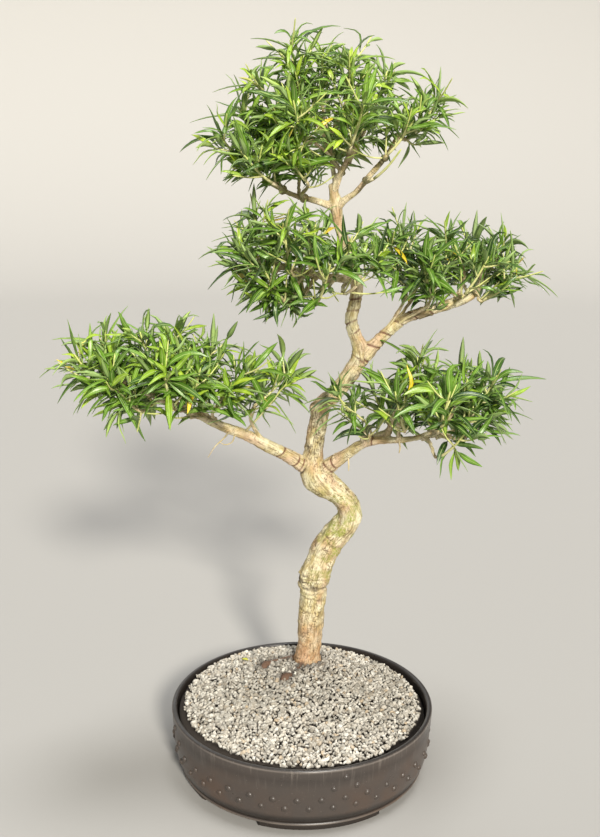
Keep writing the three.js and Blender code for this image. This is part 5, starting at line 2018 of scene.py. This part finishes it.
@dataclass
class Studio:
    """Camera at the photograph's angle, pale floor and soft lights."""

    eye: tuple = (-0.0045, -1.154, 0.715)
    pitch: float = math.radians(14.27)
    roll: float = math.radians(0.37)
    focal_pixels: float = 1080.0
    picture_height: float = 837.0
    sensor: float = 36.0
    far: float = 100.0
    floor_middle: float = 50.0
    flat_floor: float = 4000.0
    sweep: float = 3000.0
    sweep_rings: int = 24
    floor_sides: int = 96
    lamps: tuple = (
        ("key", (0.4, -1.5, 0.8), 8.0, 4.75, "#fffaf0"),
        ("fill", (-1.2, -1.2, 0.3), 50.0, 0.4, "#f4f8ff"),
        ("top", (0.3, -0.1, 2.4), 20.0, 2.1, "#ffffff"),
        ("back", (-0.6, 1.5, 1.0), 50.0, 0.7, "#ffffff"),
    )
    room_color: str = "#e6e6e6"
    room_light: float = 0.2

    def camera(self) -> None:
        """Sets the camera, from the pitch, the roll and the focal length in pixels."""
        lens = bpy.data.cameras.new("camera")
        lens.sensor_width = self.sensor
        lens.lens = self.focal_pixels / self.picture_height * self.sensor
        lens.clip_end = self.far
        camera = placed("camera", lens)
        tilted = Matrix.Rotation(math.pi / 2.0 - self.pitch, 4, "X")
        rolled = Matrix.Rotation(self.roll, 4, "Z")
        camera.matrix_world = Matrix.Translation(self.eye) @ tilted @ rolled
        bpy.context.scene.camera = camera

    def floor(self) -> Mesh:
        """Makes a round floor that sweeps up into a wall along a quarter circle.

        Returns:
            The mesh of the floor, open at the top.
        """
        rise = np.linspace(0.0, math.pi / 2.0, self.sweep_rings)
        radius = np.concatenate([[self.floor_middle], self.flat_floor + self.sweep * np.sin(rise)])
        height = np.concatenate([[0.0], self.sweep * (1.0 - np.cos(rise))])
        rings = about_axis(radius[:, None], turns(self.floor_sides), height[:, None])
        skin = Skin.over_rings(rings[None])
        quads, ends = skin.faces
        return Skin(skin.points, [quads[:, ::-1], ends[:1, ::-1]], {}).mesh("floor")

    @staticmethod
    def light(name: str, place: tuple, softness: float, power: float, color: str) -> None:
        """Shines an even light from the side of a place, as wide as its softness in degrees."""
        lamp = bpy.data.lights.new(name, "SUN")
        lamp.angle = math.radians(softness)
        lamp.energy = power
        lamp.color = srgb(color)[:3]
        look = unit(-np.array(place))
        side = unit(np.cross(look, UP + np.array([0.0, 1e-3, 0.0])))
        turn = Matrix(np.stack([side, np.cross(side, look), -look], axis=1).tolist()).to_4x4()
        placed(name, lamp).matrix_world = Matrix.Translation(place) @ turn

    def build(self, floor_finish: Material) -> None:
        """Sets up the camera, the floor, the lamps and the room's even light."""
        self.camera()
        floor = placed("floor", self.floor())
        floor.data.materials.append(floor_finish)
        for lamp in self.lamps:
            self.light(*lamp)
        scene = bpy.context.scene
        scene.view_settings.view_transform = "Standard"
        scene.view_settings.look = "None"
        scene.world = bpy.data.worlds.new("room")
        scene.world.use_nodes = True
        background = scene.world.node_tree.nodes["Background"]
        feed(scene.world.node_tree, background, {"Color": srgb(self.room_color), "Strength": self.room_light})


def main() -> None:
    """Builds the pot, the grit, the wood, the leaves and the studio, in that order."""
    logging.basicConfig(level=logging.INFO, format="%(name)s %(message)s")
    Pot().build(UnglazedStoneware().material(), MouldedMesh().material())
    trunk_foot = LIMBS["trunk"].samples()[:12]
    roots = np.vstack([*(LIMBS[name].samples() for name in SURFACE_ROOTS), trunk_foot])
    GritBed().build(CrushedGrit().material(), trunk_foot, roots)
    wood = Wood()
    wood.build(FicusBark().material())
    Foliage(wood).build(WillowLeaf().material(), GreenStem().material())
    Studio().build(PaleFloor().material())
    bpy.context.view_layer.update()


if __name__ == "__main__":
    main()
